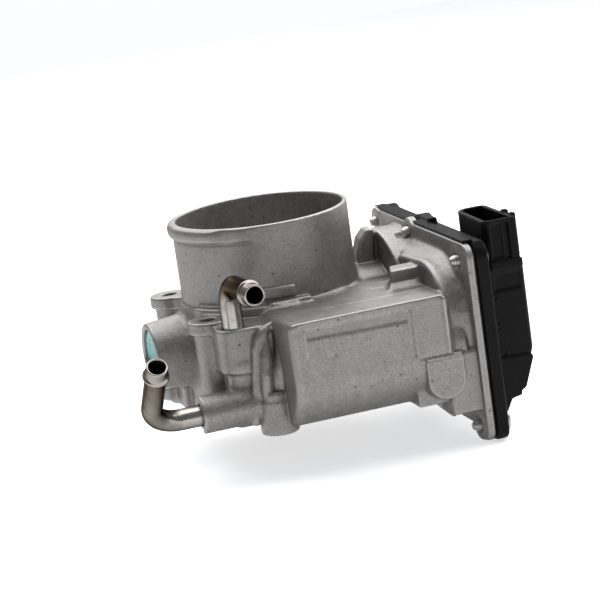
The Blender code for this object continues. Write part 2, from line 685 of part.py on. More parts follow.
def build_plate_screws(parent):
    for i, side in enumerate((-1, 1)):
        seat = 3.7
        screw = turned(f"plate_screw_{i + 1}", "z", [
            (-5.6, PLATE_SCREW_R - 0.3),
            (-5.2, PLATE_SCREW_R),
            (seat, PLATE_SCREW_R),
            (seat + 0.01, PLATE_SCREW_HEAD_R),
            (seat + PLATE_SCREW_HEAD_H * 0.6, PLATE_SCREW_HEAD_R),
            (seat + PLATE_SCREW_HEAD_H, PLATE_SCREW_HEAD_R * 0.7),
        ], (side * PLATE_SCREW_X, 0.0), 14)
        cross_cut(screw, "z", (side * PLATE_SCREW_X, 0.0), seat + PLATE_SCREW_HEAD_H, 1.0)
        screw.rotation_euler.x = math.radians(REST_TILT)
        finish(screw, "zinc_steel", parent)


def cross_cut(screw, axis, centre, top, depth, reach=1.8, width=0.35):
    """A cross recess in a screw's head, cut from top down by depth; top may lie either way along the axis."""
    span = (top - depth, top + 1.0) if depth > 0 else (top - 1.0, top - depth)
    for long_u in (True, False):
        u, v = (reach, width) if long_u else (width, reach)
        outline = [(centre[0] - u, centre[1] - v), (centre[0] + u, centre[1] - v),
                   (centre[0] + u, centre[1] + v), (centre[0] - u, centre[1] + v)]
        cut(screw, prism("recess", axis, outline, span))


def build_sector(parent):
    """Toothed sector on its hub, with the pocket for the sensor's ring magnet."""
    tooth_at = heading((0.0, 0.0), IDLER_AXIS)
    sector = prism("sector_gear", "x", sector_outline(tooth_at), SECTOR_X)
    add(sector, cylinder("hub", "x", SECTOR_HUB_R, SECTOR_HUB_X, count=28))
    cut(sector, cylinder("shaft_hole", "x", SHAFT_R + FIT, (60.0, SHAFT_X[1] + FIT), count=20))
    cut(sector, cylinder("magnet_pocket", "x", MAGNET_RING_R[1] + FIT, (SHAFT_X[1] + 0.2, 80.0), count=20))
    window = arc_block("window", "x", (15.5, 22.5), (60.0, 75.0), (108.0, 172.0), count=6)
    cut(sector, window)
    finish(sector, "gear_plastic", parent)
    magnet = ring("sensor_magnet", "x", MAGNET_RING_R, (SHAFT_X[1] + 0.5, SECTOR_HUB_X[1] - 0.2), count=20)
    finish(magnet, "magnet", parent)


def build_return_spring():
    """A torsion spring round the shaft, from an anchor in the case to the sector's hub."""
    steps = 16
    path = []
    total = int(SPRING_TURNS * steps)
    for i in range(total + 1):
        angle = TAU * i / steps + math.radians(200.0)
        along = SPRING_X[0] + (SPRING_X[1] - SPRING_X[0]) * i / total
        path.append(Vector((along, SPRING_R * math.cos(angle), SPRING_R * math.sin(angle))))
    radial = Vector((0.0, path[0].y, path[0].z)).normalized()
    path.insert(0, path[0] + radial * 3.4 - Vector((0.0, -radial.z, radial.y)) * 1.5)
    finish(swept("return_spring", path, [SPRING_WIRE_R] * len(path), 6), "bright_steel")


# ---------------------------------------------------------------- bearings, seals and plug

def build_bearings(parent):
    plug = turned("shaft_plug", "x", [
        (PLUG_X[0] + 1.4, PLUG_R - 4.6),
        (PLUG_X[0] + 1.2, PLUG_R - 1.4),
        (PLUG_X[0], PLUG_R - 0.8),
        (PLUG_X[0], PLUG_R),
        (PLUG_X[1], PLUG_R),
        (PLUG_X[1], PLUG_R - 1.0),
        (PLUG_X[0] + 2.6, PLUG_R - 1.8),
        (PLUG_X[0] + 2.6, PLUG_R - 4.6),
    ], count=28)
    finish(plug, "plug_green")
    seat = SHAFT_R + FIT
    finish(ring("needle_bearing", "x", (seat, NEEDLE_R), NEEDLE_X, count=20), "bright_steel")
    finish(ring("shaft_seal_left", "x", (seat, NEEDLE_R), LEFT_SEAL_X, count=20), "seal_rubber")
    finish(ring("shaft_seal_right", "x", (seat, RIGHT_SEAL_R), RIGHT_SEAL_X, count=20), "seal_rubber")
    outer = ring("ball_bearing_outer_ring", "x", (OUTER_RACE_R, BALL_R), BALL_X, count=24)
    finish(outer, "bright_steel")
    inner = ring("ball_bearing_inner_ring", "x", (seat - 0.2, INNER_RACE_R), BALL_X, count=24)
    finish(inner, "bright_steel", parent)
    middle = sum(BALL_X) / 2
    mean = (OUTER_RACE_R + INNER_RACE_R) / 2
    cage = ring("ball_cage", "x", (mean - 0.35, mean + 0.35), (middle - 1.8, middle + 1.8), count=24)
    for i in range(BALL_COUNT):
        angle = TAU * i / BALL_COUNT
        ball = bmesh.new()
        bmesh.ops.create_icosphere(ball, subdivisions=1, radius=1.0, matrix=Matrix.Translation(
            (middle, mean * math.cos(angle), mean * math.sin(angle))))
        add(cage, make_object("ball", ball))
    finish(cage, "bright_steel")


# ---------------------------------------------------------------- idler and motor

def build_idler(parent):
    """Idler gear: a large wheel driven by the motor and a pinion that drives the sector, in one moulding."""
    wheel_tooth = heading(IDLER_AXIS, MOTOR_AXIS)
    pinion_gap = heading(IDLER_AXIS, (0.0, 0.0))
    pinion_tooth = pinion_gap + 180.0 / IDLER_PINION_TEETH
    gear = prism("idler_gear", "x", gear_outline(IDLER_WHEEL_TEETH, WHEEL_MODULE, wheel_tooth), IDLER_WHEEL_X)
    pinion = gear_outline(IDLER_PINION_TEETH, SECTOR_MODULE, pinion_tooth)
    add(gear, prism("pinion", "x", pinion, IDLER_PINION_X))
    cut(gear, cylinder("pin_hole", "x", IDLER_PIN_R + 0.15, (IDLER_WHEEL_X[0] - 1.0, IDLER_PINION_X[1] + 1.0),
                       count=14))
    cut(gear, ring("web", "x", (9.6, 17.0), (IDLER_WHEEL_X[1] - 1.4, IDLER_WHEEL_X[1] + 1.0), count=24))
    finish(gear, "gear_plastic", parent)
    pin = turned("idler_pin", "x", [
        (IDLER_PIN_X[0], IDLER_PIN_R - 0.4),
        (IDLER_PIN_X[0] + 0.4, IDLER_PIN_R),
        (IDLER_PIN_X[1] - 0.4, IDLER_PIN_R),
        (IDLER_PIN_X[1], IDLER_PIN_R - 0.4),
    ], IDLER_AXIS, 14)
    finish(pin, "bright_steel")


def build_motor_stator():
    y, z = MOTOR_AXIS
    inner = MOTOR_CAN_R - MOTOR_CAN_T
    can = cylinder("motor_can", "x", MOTOR_CAN_R, MOTOR_CAN_X, (y, z), 32)
    cut(can, turned("can_bore", "x", [
        (MOTOR_CAN_X[0] - 1.0, MOTOR_SHAFT_R + 0.5),
        (MOTOR_CAN_X[0] + 0.01, MOTOR_SHAFT_R + 0.5),
        (MOTOR_CAN_X[0] + 0.02, 4.3),
        (MOTOR_CAN_X[0] + 4.6, 4.3),
        (MOTOR_CAN_X[0] + 4.7, inner),
        (MOTOR_CAN_X[1] + 1.0, inner),
    ], (y, z), 24))
    finish(can, "zinc_steel")
    bush_x = (MOTOR_CAN_X[0] + 0.6, MOTOR_CAN_X[0] + 4.4)
    bush = ring("motor_rear_bush", "x", (MOTOR_SHAFT_R + FIT, MOTOR_BUSH_R), bush_x, (y, z), 16)
    finish(bush, "brass")
    for i, start in enumerate((-MAGNET_ARC / 2, 180.0 - MAGNET_ARC / 2)):
        arc = (start, start + MAGNET_ARC)
        magnet = arc_block(f"motor_magnet_{i + 1}", "x", MAGNET_R, MAGNET_X, arc, (y, z), 8)
        finish(magnet, "magnet")
    plate = cylinder("motor_end_plate", "x", MOTOR_CAN_R, END_PLATE_X, (y, z), 32)
    add(plate, cylinder("raise", "x", 9.0, (END_PLATE_X[1] - 1.0, BAR_X[1] - 0.02), (y, z), 24))
    reach, half = MOTOR_SCREW_RING, 3.6
    bar = [(y - half, z - reach), (y + half, z - reach), (y + half, z + reach), (y - half, z + reach)]
    add(plate, prism("bar", "x", bar, BAR_X))
    for centre in motor_screw_centres():
        add(plate, cylinder("ear", "x", 3.9, (BAR_X[0] + 0.02, BAR_X[1] - 0.01), centre, 16))
        way = (BAR_X[0] - 0.5, BAR_X[1] + 0.5)
        cut(plate, cylinder("ear_hole", "x", MOTOR_SCREW_R + FIT, way, centre, 10))
    cut(plate, cylinder("bush_seat", "x", 4.3, (END_PLATE_X[1] - 4.4, BAR_X[1] + 1.0), (y, z), 16))
    way = (END_PLATE_X[0] - 1.0, END_PLATE_X[1])
    cut(plate, cylinder("shaft_way", "x", MOTOR_SHAFT_R + 1.0, way, (y, z), 14))
    finish(plate, "black_plastic")
    bush_x = (END_PLATE_X[1] - 4.2, END_PLATE_X[1] - 0.4)
    front = ring("motor_front_bush", "x", (MOTOR_SHAFT_R + FIT, MOTOR_BUSH_R), bush_x, (y, z), 16)
    finish(front, "brass")
    for i, side in enumerate((-1, 1)):
        low = COMMUTATOR_R + 0.5
        ys = sorted((y + side * low, y + side * (low + BRUSH_LENGTH)))
        xs = (COMMUTATOR_X[0] + 1.0, COMMUTATOR_X[1] - 1.0)
        brush = box(f"motor_brush_{i + 1}", xs, ys, (z - 2.0, z + 2.0))
        finish(brush, "magnet")


def build_rotor(parent):
    """Armature, commutator, shaft and pinion of the motor. Meshes are measured from the motor's axis."""
    shaft = turned("motor_shaft", "x", [
        (MOTOR_SHAFT_X[0], MOTOR_SHAFT_R - 0.4),
        (MOTOR_SHAFT_X[0] + 0.4, MOTOR_SHAFT_R),
        (MOTOR_SHAFT_X[1] - 0.3, MOTOR_SHAFT_R),
        (MOTOR_SHAFT_X[1], MOTOR_SHAFT_R - 0.3),
    ], count=12)
    finish(shaft, "bright_steel", parent)
    core = cylinder("armature_core", "x", CORE_R, CORE_X, count=40)
    slots = []
    for i in range(CORE_SLOTS):
        angle = TAU * i / CORE_SLOTS
        centre = (SLOT_RING * math.cos(angle), SLOT_RING * math.sin(angle))
        slots.append(cylinder("slot", "x", SLOT_R, (CORE_X[0] - 1.0, CORE_X[1] + 1.0), centre, 8))
    cut(core, *slots)
    cut(core, cylinder("core_hole", "x", MOTOR_SHAFT_R + FIT, (CORE_X[0] - 1.0, CORE_X[1] + 1.0), count=12))
    finish(core, "zinc_steel", parent)
    commutator = ring("commutator", "x", (MOTOR_SHAFT_R + FIT, COMMUTATOR_R), COMMUTATOR_X, count=20)
    finish(commutator, "copper", parent)
    gap = heading(MOTOR_AXIS, IDLER_AXIS)
    outline = gear_outline(MOTOR_PINION_TEETH, WHEEL_MODULE, gap + 180.0 / MOTOR_PINION_TEETH)
    pinion = prism("motor_pinion", "x", outline, (MOTOR_PINION_X[0] + 1.0, MOTOR_PINION_X[1]))
    way = (MOTOR_PINION_X[0], MOTOR_PINION_X[1] + 1.0)
    cut(pinion, cylinder("pinion_hole", "x", MOTOR_SHAFT_R + FIT, way, count=12))
    finish(pinion, "brass", parent)


def screw_along_x(name, centre, span, shank_r, head, recess=True):
    """A pan-head screw along X: span is (tip, head seat) and head is (radius, height)."""
    tip_x, head_x = span
    head_r, head_h = head
    screw = turned(name, "x", [
        (tip_x, shank_r - 0.6),
        (tip_x + 0.8, shank_r),
        (head_x, shank_r),
        (head_x + 0.01, head_r),
        (head_x + head_h * 0.55, head_r),
        (head_x + head_h, head_r * 0.62),
    ], centre, 12)
    if recess:
        cross_cut(screw, "x", centre, head_x + head_h, head_h * 0.5)
    finish(screw, "zinc_steel")


# ---------------------------------------------------------------- gear cover

def build_cover():
    """Black cover: flat rim, raised dome over the gears, and the upright connector socket."""
    rim = rounded(inset(FLANGE_CORNERS, -0.5))
    cover = prism("gear_cover", "x", rim, COVER_RIM_X)
    for i, centre in enumerate(COVER_SCREWS):
        add(cover, cylinder("ear", "x", SCREW_EAR_R + 0.5, (COVER_RIM_X[0] + 0.02, COVER_EAR_X), centre, 16))
    add(cover, box("clip", (COVER_RIM_X[0] + 0.4, COVER_RIM_X[1] - 0.3), (-26.0, -12.0), (36.0, 40.8)))
    add(cover, prism("dome", "y", rounded(DOME_PROFILE), DOME_Y))
    socket = rounded([
        (SOCKET_X[0], SOCKET_Y[0], 2.0),
        (SOCKET_X[1], SOCKET_Y[0], 2.0),
        (SOCKET_X[1], SOCKET_Y[1], 5.0),
        (SOCKET_X[0], SOCKET_Y[1], 5.0),
    ], 4)
    add(cover, prism("socket", "z", socket, SOCKET_Z))
    add(cover, box("latch", (SOCKET_X[1] - 1.0, SOCKET_X[1] + 1.7), (-62.0, -50.0), (34.0, 43.0)))
    inner_rim = rounded(inset(CASE_CORNERS, CASE_WALL_T))
    cut(cover, prism("rim_cavity", "x", inner_rim, (COVER_RIM_X[0] - 1.0, RIM_ROOF_X)))
    span = (COVER_RIM_X[0] - 1.2, RIM_ROOF_X - 0.1)
    cut(cover, cylinder("sector_cavity", "x", CHAMBER_R - 0.4, span, count=36))
    hollow = rounded(inset(DOME_PROFILE, COVER_T))
    cut(cover, prism("dome_cavity", "y", hollow, (DOME_Y[0] + COVER_T, DOME_Y[1] - COVER_T)))
    wall = SOCKET_WALL
    mouth = rounded([
        (SOCKET_X[0] + wall, SOCKET_Y[0] + wall, 1.0),
        (SOCKET_X[1] - wall, SOCKET_Y[0] + wall, 1.0),
        (SOCKET_X[1] - wall, SOCKET_Y[1] - wall, 3.5),
        (SOCKET_X[0] + wall, SOCKET_Y[1] - wall, 3.5),
    ], 4)
    cut(cover, prism("socket_cavity", "z", mouth, (SOCKET_FLOOR_Z, SOCKET_Z[1] + 1.0)))
    for centre in terminal_centres():
        half_x, half_y = TERMINAL_T / 2 + FIT, TERMINAL_W / 2 + FIT
        cut(cover, box("terminal_slot", (centre[0] - half_x, centre[0] + half_x),
                       (centre[1] - half_y, centre[1] + half_y), (20.0, SOCKET_FLOOR_Z + 1.0)))
    for centre in COVER_SCREWS:
        way = (COVER_RIM_X[0] - 1.0, COVER_EAR_X + 1.0)
        cut(cover, cylinder("screw_hole", "x", COVER_SCREW_R + FIT, way, centre, 10))
    pin_span = (IDLER_PIN_X[1] - 3.5, DOME_ROOF_X - COVER_T + 0.6)
    pin_socket = ring("pin_socket", "x", (IDLER_PIN_R + 0.2, 6.0), pin_span, IDLER_AXIS, 14)
    add(cover, pin_socket)
    finish(cover, "black_plastic")


def terminal_centres():
    x = sum(SOCKET_X) / 2
    middle = sum(SOCKET_Y) / 2
    return [(x, middle + (i - (TERMINALS - 1) / 2) * TERMINAL_PITCH) for i in range(TERMINALS)]


def build_cover_fittings():
    for i, (x, y) in enumerate(terminal_centres()):
        blade = box(f"terminal_{i + 1}", (x - TERMINAL_T / 2, x + TERMINAL_T / 2),
                    (y - TERMINAL_W / 2, y + TERMINAL_W / 2), (21.0, TERMINAL_TOP_Z))
        finish(blade, "brass")
    span = (SHAFT_X[1] + 1.6, DOME_ROOF_X - COVER_T - FACE_GAP)
    sensor = cylinder("position_sensor", "x", SENSOR_R, span, count=20)
    board = box("sensor_board", (83.0, 84.6), (-22.0, 18.0), (-14.0, 14.0))
    add(sensor, board)
    finish(sensor, "board_green")
    span = (CASE_FLANGE_X[1] + FACE_GAP, COVER_RIM_X[0] - FACE_GAP)
    way = (span[0] - 1.0, span[1] + 1.0)
    seal = prism("cover_seal", "x", rounded(inset(FLANGE_CORNERS, 1.2)), span)
    cut(seal, prism("opening", "x", rounded(inset(CASE_CORNERS, CASE_WALL_T - 0.4)), way))
    cut(seal, cylinder("chamber_opening", "x", CHAMBER_R + 0.6, way, count=36))
    for centre in COVER_SCREWS:
        cut(seal, cylinder("screw_hole", "x", COVER_SCREW_R + FIT, way, centre, 10))
    finish(seal, "seal_rubber")
    for i, centre in enumerate(COVER_SCREWS):
        span = (CASE_FLANGE_X[0] - 3.6, COVER_EAR_X + FACE_GAP)
        screw_along_x(f"cover_screw_{i + 1}", centre, span, COVER_SCREW_R, COVER_SCREW_HEAD)
    for i, centre in enumerate(motor_screw_centres()):
        span = (49.5, BAR_X[1] + FACE_GAP)
        screw_along_x(f"motor_screw_{i + 1}", centre, span, MOTOR_SCREW_R, (2.8, 1.6), recess=False)


# ---------------------------------------------------------------- coolant pipes

def bent_path(start, corner, end, bend_r, steps=6):
    """A path of two straights joined by an arc at the corner."""
    start, corner, end = Vector(start), Vector(corner), Vector(end)
    back = (start - corner).normalized()
    ahead = (end - corner).normalized()
    half = back.angle(ahead) / 2
    reach = bend_r / math.tan(half)
    centre = corner + (back + ahead).normalized() * (bend_r / math.sin(half))
    spoke = corner + back * reach - centre
    axis = spoke.cross(corner + ahead * reach - centre).normalized()
    turn = math.pi - 2 * half
    arc = [centre + Matrix.Rotation(turn * k / steps, 3, axis) @ spoke for k in range(steps + 1)]
    return [start] + arc + [end]


def build_pipe(name, path):
    """A bent steel tube with the hose bead behind its mouth."""
    end, before = path[-1], path[-2]
    direction = (end - before).normalized()
    stations = (
        (BEAD_FROM_MOUTH + BEAD_LENGTH, PIPE_R),
        (BEAD_FROM_MOUTH + BEAD_LENGTH * 0.72, PIPE_BEAD_R),
        (BEAD_FROM_MOUTH + BEAD_LENGTH * 0.28, PIPE_BEAD_R),
        (BEAD_FROM_MOUTH, PIPE_R),
        (0.6, PIPE_R),
        (0.0, PIPE_R - 0.3),
    )
    outer_path = path[:-1] + [end - direction * back for back, _ in stations]
    radii = [PIPE_R] * (len(path) - 1) + [radius for _, radius in stations]
    pipe = swept(name, outer_path, radii, 16)
    inner_path = [path[0] - (path[1] - path[0]).normalized()] + path[1:-1] + [end + direction]
    cut(pipe, swept("pipe_bore", inner_path, [PIPE_BORE_R] * len(inner_path), 12))
    finish(pipe, "bright_steel")


def build_pipes():
    x, y = UPPER_PIPE_AT
    top = UPPER_PIPE_TOP_Z
    mouth = (x + UPPER_PIPE_DRIFT, y - UPPER_PIPE_REACH, top)
    build_pipe("coolant_pipe_upper", bent_path((x, y, 5.0), (x, y, top), mouth, PIPE_BEND_R))
    y, z = LOWER_PIPE_AXIS
    corner = (LOWER_PIPE_CORNER_X, y, z)
    rise = math.radians(LOWER_PIPE_RISE_DEG)
    mouth_y, mouth_z = y - LOWER_PIPE_LENGTH * math.cos(rise), z + LOWER_PIPE_LENGTH * math.sin(rise)
    mouth = (LOWER_PIPE_MOUTH_X, mouth_y, mouth_z)
    build_pipe("coolant_pipe_lower", bent_path((-39.5, y, z), corner, mouth, PIPE_BEND_R))


# ---------------------------------------------------------------- assembly

def stand_on_origin():
    """Moves the whole assembly so that its box stands on Z = 0, centred on the origin."""
    frame = bpy.data.objects.new("assembly_frame", None)
    bpy.context.scene.collection.objects.link(frame)
    bpy.context.view_layer.update()
    solids = [obj for obj in bpy.data.objects if obj.type == "MESH"]
    corners = [obj.matrix_world @ Vector(corner) for obj in solids for corner in obj.bound_box]
    low, high = ([pick(corner[i] for corner in corners) for i in range(3)] for pick in (min, max))
    for obj in bpy.data.objects:
        if obj.parent is None and obj is not frame:
            obj.parent = frame
    frame.location = (-(low[0] + high[0]) / 2, -(low[1] + high[1]) / 2, -low[2])


def main():
    clear_scene()
    throttle_axis = pivot("throttle_axis", (0.0, 0.0))
    idler_axis = pivot("idler_axis", IDLER_AXIS)
    rotor_axis = pivot("rotor_axis", MOTOR_AXIS)
    build_housing()
    build_shaft(throttle_axis)
    build_plate(throttle_axis)
    build_plate_screws(throttle_axis)
    build_sector(throttle_axis)
    build_return_spring()
    build_bearings(throttle_axis)
    build_idler(idler_axis)
    build_motor_stator()
    build_rotor(rotor_axis)
    build_cover()
    build_cover_fittings()
    build_pipes()
    stand_on_origin()


main()
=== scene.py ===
"""Looks for the throttle body: cast housing, moulded cover, bent pipes, screws and every material.

Shapes are worked out in millimetres from the point where the air bore's axis crosses the throttle shaft's
axis, called the crossing below. FROM_CROSSING moves them into the frame. The casting and the cover are
signed distance fields on a grid, joined with soft fillets and turned into meshes.
"""

import json
import math

import bmesh
import bpy
import numpy as np
from mathutils import Matrix, Vector


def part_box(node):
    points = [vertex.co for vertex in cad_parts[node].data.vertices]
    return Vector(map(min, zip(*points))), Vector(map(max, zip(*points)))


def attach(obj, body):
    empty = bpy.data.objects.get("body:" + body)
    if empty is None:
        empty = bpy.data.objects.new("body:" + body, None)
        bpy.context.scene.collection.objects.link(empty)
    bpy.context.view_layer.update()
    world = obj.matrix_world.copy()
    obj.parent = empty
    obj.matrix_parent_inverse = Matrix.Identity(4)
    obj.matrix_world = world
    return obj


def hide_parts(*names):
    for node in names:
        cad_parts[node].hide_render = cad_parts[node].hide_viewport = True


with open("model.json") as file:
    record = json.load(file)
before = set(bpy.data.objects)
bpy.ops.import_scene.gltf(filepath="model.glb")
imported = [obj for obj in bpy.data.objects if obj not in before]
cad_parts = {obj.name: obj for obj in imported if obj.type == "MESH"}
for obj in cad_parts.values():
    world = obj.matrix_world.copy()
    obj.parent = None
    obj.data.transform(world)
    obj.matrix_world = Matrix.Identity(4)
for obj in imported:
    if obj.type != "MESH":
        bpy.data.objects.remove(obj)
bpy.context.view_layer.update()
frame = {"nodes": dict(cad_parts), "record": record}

MM = 0.001
TAU = 2.0 * math.pi
JOINTS = {joint["name"]: joint for joint in frame["record"]["behaviour"]["joints"]}


def crossing():
    """Where the bore's axis crosses the shaft's axis, in metres in the frame."""
    low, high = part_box("throttle_plate")
    _, y, z = JOINTS["throttle_turn"]["pos_m"]
    return np.array([(low[0] + high[0]) / 2, y, z])


FROM_CROSSING = crossing()


def axis_of(joint):
    """A joint's (y, z) in millimetres from the crossing."""
    place = (np.array(JOINTS[joint]["pos_m"]) - FROM_CROSSING) / MM
    return float(place[1]), float(place[2])


MOTOR = axis_of("rotor_turn")
IDLER = axis_of("idler_turn")

# Air tube
BORE_R, RIM_BORE_R, TUBE_R, TUBE_FOOT_R = 35.0, 36.1, 38.0, 39.2
INLET_Z, BASE_Z, TAPER_FROM_Z = 54.0, -30.0, 30.0
LUG_X, LUG_Y, LUG_R, LUG_COLUMN_R, LUG_HOLE_R = 37.0, 32.0, 8.6, 6.6, 3.3
LUG_TOP_Z, LUG_EAR_H = 18.3, 5.2

# Motor housing
HOUSING_R, HOUSING_X = 21.3, (-16.2, 56.0)
CREST_Z, FRONT_Y = 19.8, -80.3

# Gear case and cover
FLANGE_X = (62.0, 65.2)
FLANGE = ((-82.0, 38.2, 6.0), (37.8, 38.2, 5.0), (37.8, -26.0, 10.0), (24.0, -38.0, 10.0),
          (-44.0, -38.0, 8.0), (-50.0, -40.6, 6.0), (-66.4, -40.6, 1.2), (-68.6, -45.6, 3.0), (-82.0, -45.6, 5.0))
CASE = ((-76.0, 30.4, 26.0), (30.0, 30.4, 13.0), (30.0, -22.0, 10.0), (20.0, -30.5, 10.0),
        (-42.0, -30.5, 8.0), (-55.0, -35.5, 8.0), (-76.0, -35.5, 8.0))
COVER_SCREWS = ((30.5, 32.6), (-12.6, 34.2), (-70.0, 30.2), (-72.5, -39.8), (-20.0, -33.5), (28.5, -28.5))
CHAMBER_R, CHAMBER_WALL, CHAMBER_X = 31.0, 3.4, (50.0, 53.4)
CASE_FLOOR_X, CASE_WALL_T = 57.2, 3.5
SCREW_R, SCREW_HOLE_R, SCREW_HEAD_R, SCREW_HEAD_H = 2.5, 2.62, 4.4, 1.9

# Coolant pipes
UPPER_PIPE_AT = (-30.5, -47.5)
LOWER_PIPE_AT = (-49.5, -16.8)
PIPE_R, PIPE_BORE_R, PIPE_BEAD_R = 4.5, 3.5, 5.5
BEAD_FROM_MOUTH, BEAD_LENGTH = 4.6, 3.2


# ---------------------------------------------------------------- distance fields

def soft_corner(a, b, radius):
    """Distance to where two slabs meet, with the edge between them rounded."""
    a, b = a + radius, b + radius
    outside = np.sqrt(np.maximum(a, 0) ** 2 + np.maximum(b, 0) ** 2)
    return np.minimum(np.maximum(a, b), 0) + outside - radius


def others(axis):
    """The grid's three directions, the named one first."""
    return {"x": (0, 1, 2), "y": (1, 0, 2), "z": (2, 0, 1)}[axis]


def rounded(corners, steps=8):
    """An outline with each (u, v, radius) corner rounded by an arc."""
    points = [Vector(corner[:2]) for corner in corners]
    outline = []
    for i, corner in enumerate(corners):
        to_before = (points[i - 1] - points[i]).normalized()
        to_after = (points[(i + 1) % len(points)] - points[i]).normalized()
        half = to_before.angle(to_after) / 2
        start = points[i] + to_before * (corner[2] / math.tan(half))
        centre = points[i] + (to_before + to_after).normalized() * (corner[2] / math.sin(half))
        spoke = start - centre
        sign = 1.0 if to_before.x * to_after.y - to_before.y * to_after.x < 0 else -1.0
        for k in range(steps + 1):
            turn = Matrix.Rotation(sign * (math.pi - 2 * half) * k / steps, 2)
            outline.append(tuple(centre + turn @ spoke))
    return outline


def outline_distance(outline, u, v):
    """Signed distance to a closed outline, for every point of the u by v grid."""
    u, v = np.broadcast_arrays(u, v)
    nearest = np.full(u.shape, 1e9, np.float32)
    inside = np.zeros(u.shape, bool)
    for (u0, v0), (u1, v1) in zip(outline, outline[1:] + outline[:1]):
        du, dv = u1 - u0, v1 - v0
        along = np.clip(((u - u0) * du + (v - v0) * dv) / (du * du + dv * dv + 1e-12), 0, 1)
        nearest = np.minimum(nearest, (u - u0 - along * du) ** 2 + (v - v0 - along * dv) ** 2)
        if dv:
            crosses = (v0 > v) != (v1 > v)
            inside ^= crosses & (u < u0 + (v - v0) * du / dv)
    return np.where(inside, -1, 1) * np.sqrt(nearest)


class Shape:
    """A box that holds a solid, and the signed distance to the solid's surface."""

    def __init__(self, low, high, distance):
        self.low, self.high, self.distance = low, high, distance


def spread(axis, span, low, high):
    """Low and high corners from a span along the axis and limits across it."""
    order = others(axis)
    corners = [[0.0] * 3, [0.0] * 3]
    for i, (a, b) in zip(order, (span, (low[0], high[0]), (low[1], high[1]))):
        corners[0][i], corners[1][i] = a, b
    return corners


def cylinder(axis, radius, span, centre=(0.0, 0.0), edge=0.6, growth=0.0):
    """A round bar. Growth widens it by that much per millimetre along the axis."""
    i, j, k = others(axis)
    middle, half = sum(span) / 2, (span[1] - span[0]) / 2
    reach = radius + abs(growth) * half

    def distance(p):
        away = np.hypot(p[j] - centre[0], p[k] - centre[1]) - radius - growth * (p[i] - middle)
        return soft_corner(away, np.abs(p[i] - middle) - half, edge)

    low = [centre[0] - reach, centre[1] - reach]
    high = [centre[0] + reach, centre[1] + reach]
    return Shape(*spread(axis, span, low, high), distance)


def prism(axis, outline, span, edge=0.6, draft=0.0):
    """An extruded outline. Draft shrinks it by that much per millimetre from the span's middle."""
    i, j, k = others(axis)
    middle, half = sum(span) / 2, (span[1] - span[0]) / 2
    us, vs = [p[0] for p in outline], [p[1] for p in outline]
    grow = abs(draft) * half

    def distance(p):
        flat = outline_distance(outline, p[j], p[k])
        return soft_corner(flat + draft * (p[i] - middle), np.abs(p[i] - middle) - half, edge)

    low = [min(us) - grow, min(vs) - grow]
    high = [max(us) + grow, max(vs) + grow]
    return Shape(*spread(axis, span, low, high), distance)


def block(xs, ys, zs, edge=0.8):
    """A box with every edge rounded."""
    centre = [sum(s) / 2 for s in (xs, ys, zs)]
    half = [(s[1] - s[0]) / 2 - edge for s in (xs, ys, zs)]

    def distance(p):
        q = [np.abs(p[i] - centre[i]) - half[i] for i in range(3)]
        outside = np.sqrt(sum(np.maximum(v, 0) ** 2 for v in q))
        return outside + np.minimum(np.maximum(np.maximum(q[0], q[1]), q[2]), 0) - edge

    return Shape([xs[0], ys[0], zs[0]], [xs[1], ys[1], zs[1]], distance)


def bar(start, end, radius):
    """A straight bar with round ends, for ribs and ridges."""
    start, end = np.array(start, float), np.array(end, float)
    run = end - start

    def distance(p):
        offset = [p[i] - start[i] for i in range(3)]
        along = np.clip(sum(offset[i] * run[i] for i in range(3)) / (run @ run), 0, 1)
        return np.sqrt(sum((offset[i] - along * run[i]) ** 2 for i in range(3))) - radius

    return Shape(np.minimum(start, end) - radius, np.maximum(start, end) + radius, distance)


def ridge(stations):
    """A round bar through (x, y, z, radius) stations."""
    places = [np.array(station[:3], float) for station in stations]
    radii = [station[3] for station in stations]
    reach = max(radii)

    def distance(p):
        nearest = None
        for start, end, start_r, end_r in zip(places, places[1:], radii, radii[1:]):
            run = end - start
            offset = [p[i] - start[i] for i in range(3)]
            along = np.clip(sum(offset[i] * run[i] for i in range(3)) / (run @ run), 0, 1)
            away = np.sqrt(sum((offset[i] - along * run[i]) ** 2 for i in range(3)))
            away = away - start_r - along * (end_r - start_r)
            nearest = away if nearest is None else np.minimum(nearest, away)
        return nearest

    return Shape(np.min(places, axis=0) - reach, np.max(places, axis=0) + reach, distance)


def within(shape, limit):
    """A shape kept only where limit(p) is negative."""
    return Shape(shape.low, shape.high, lambda p: np.maximum(shape.distance(p), limit(p)))


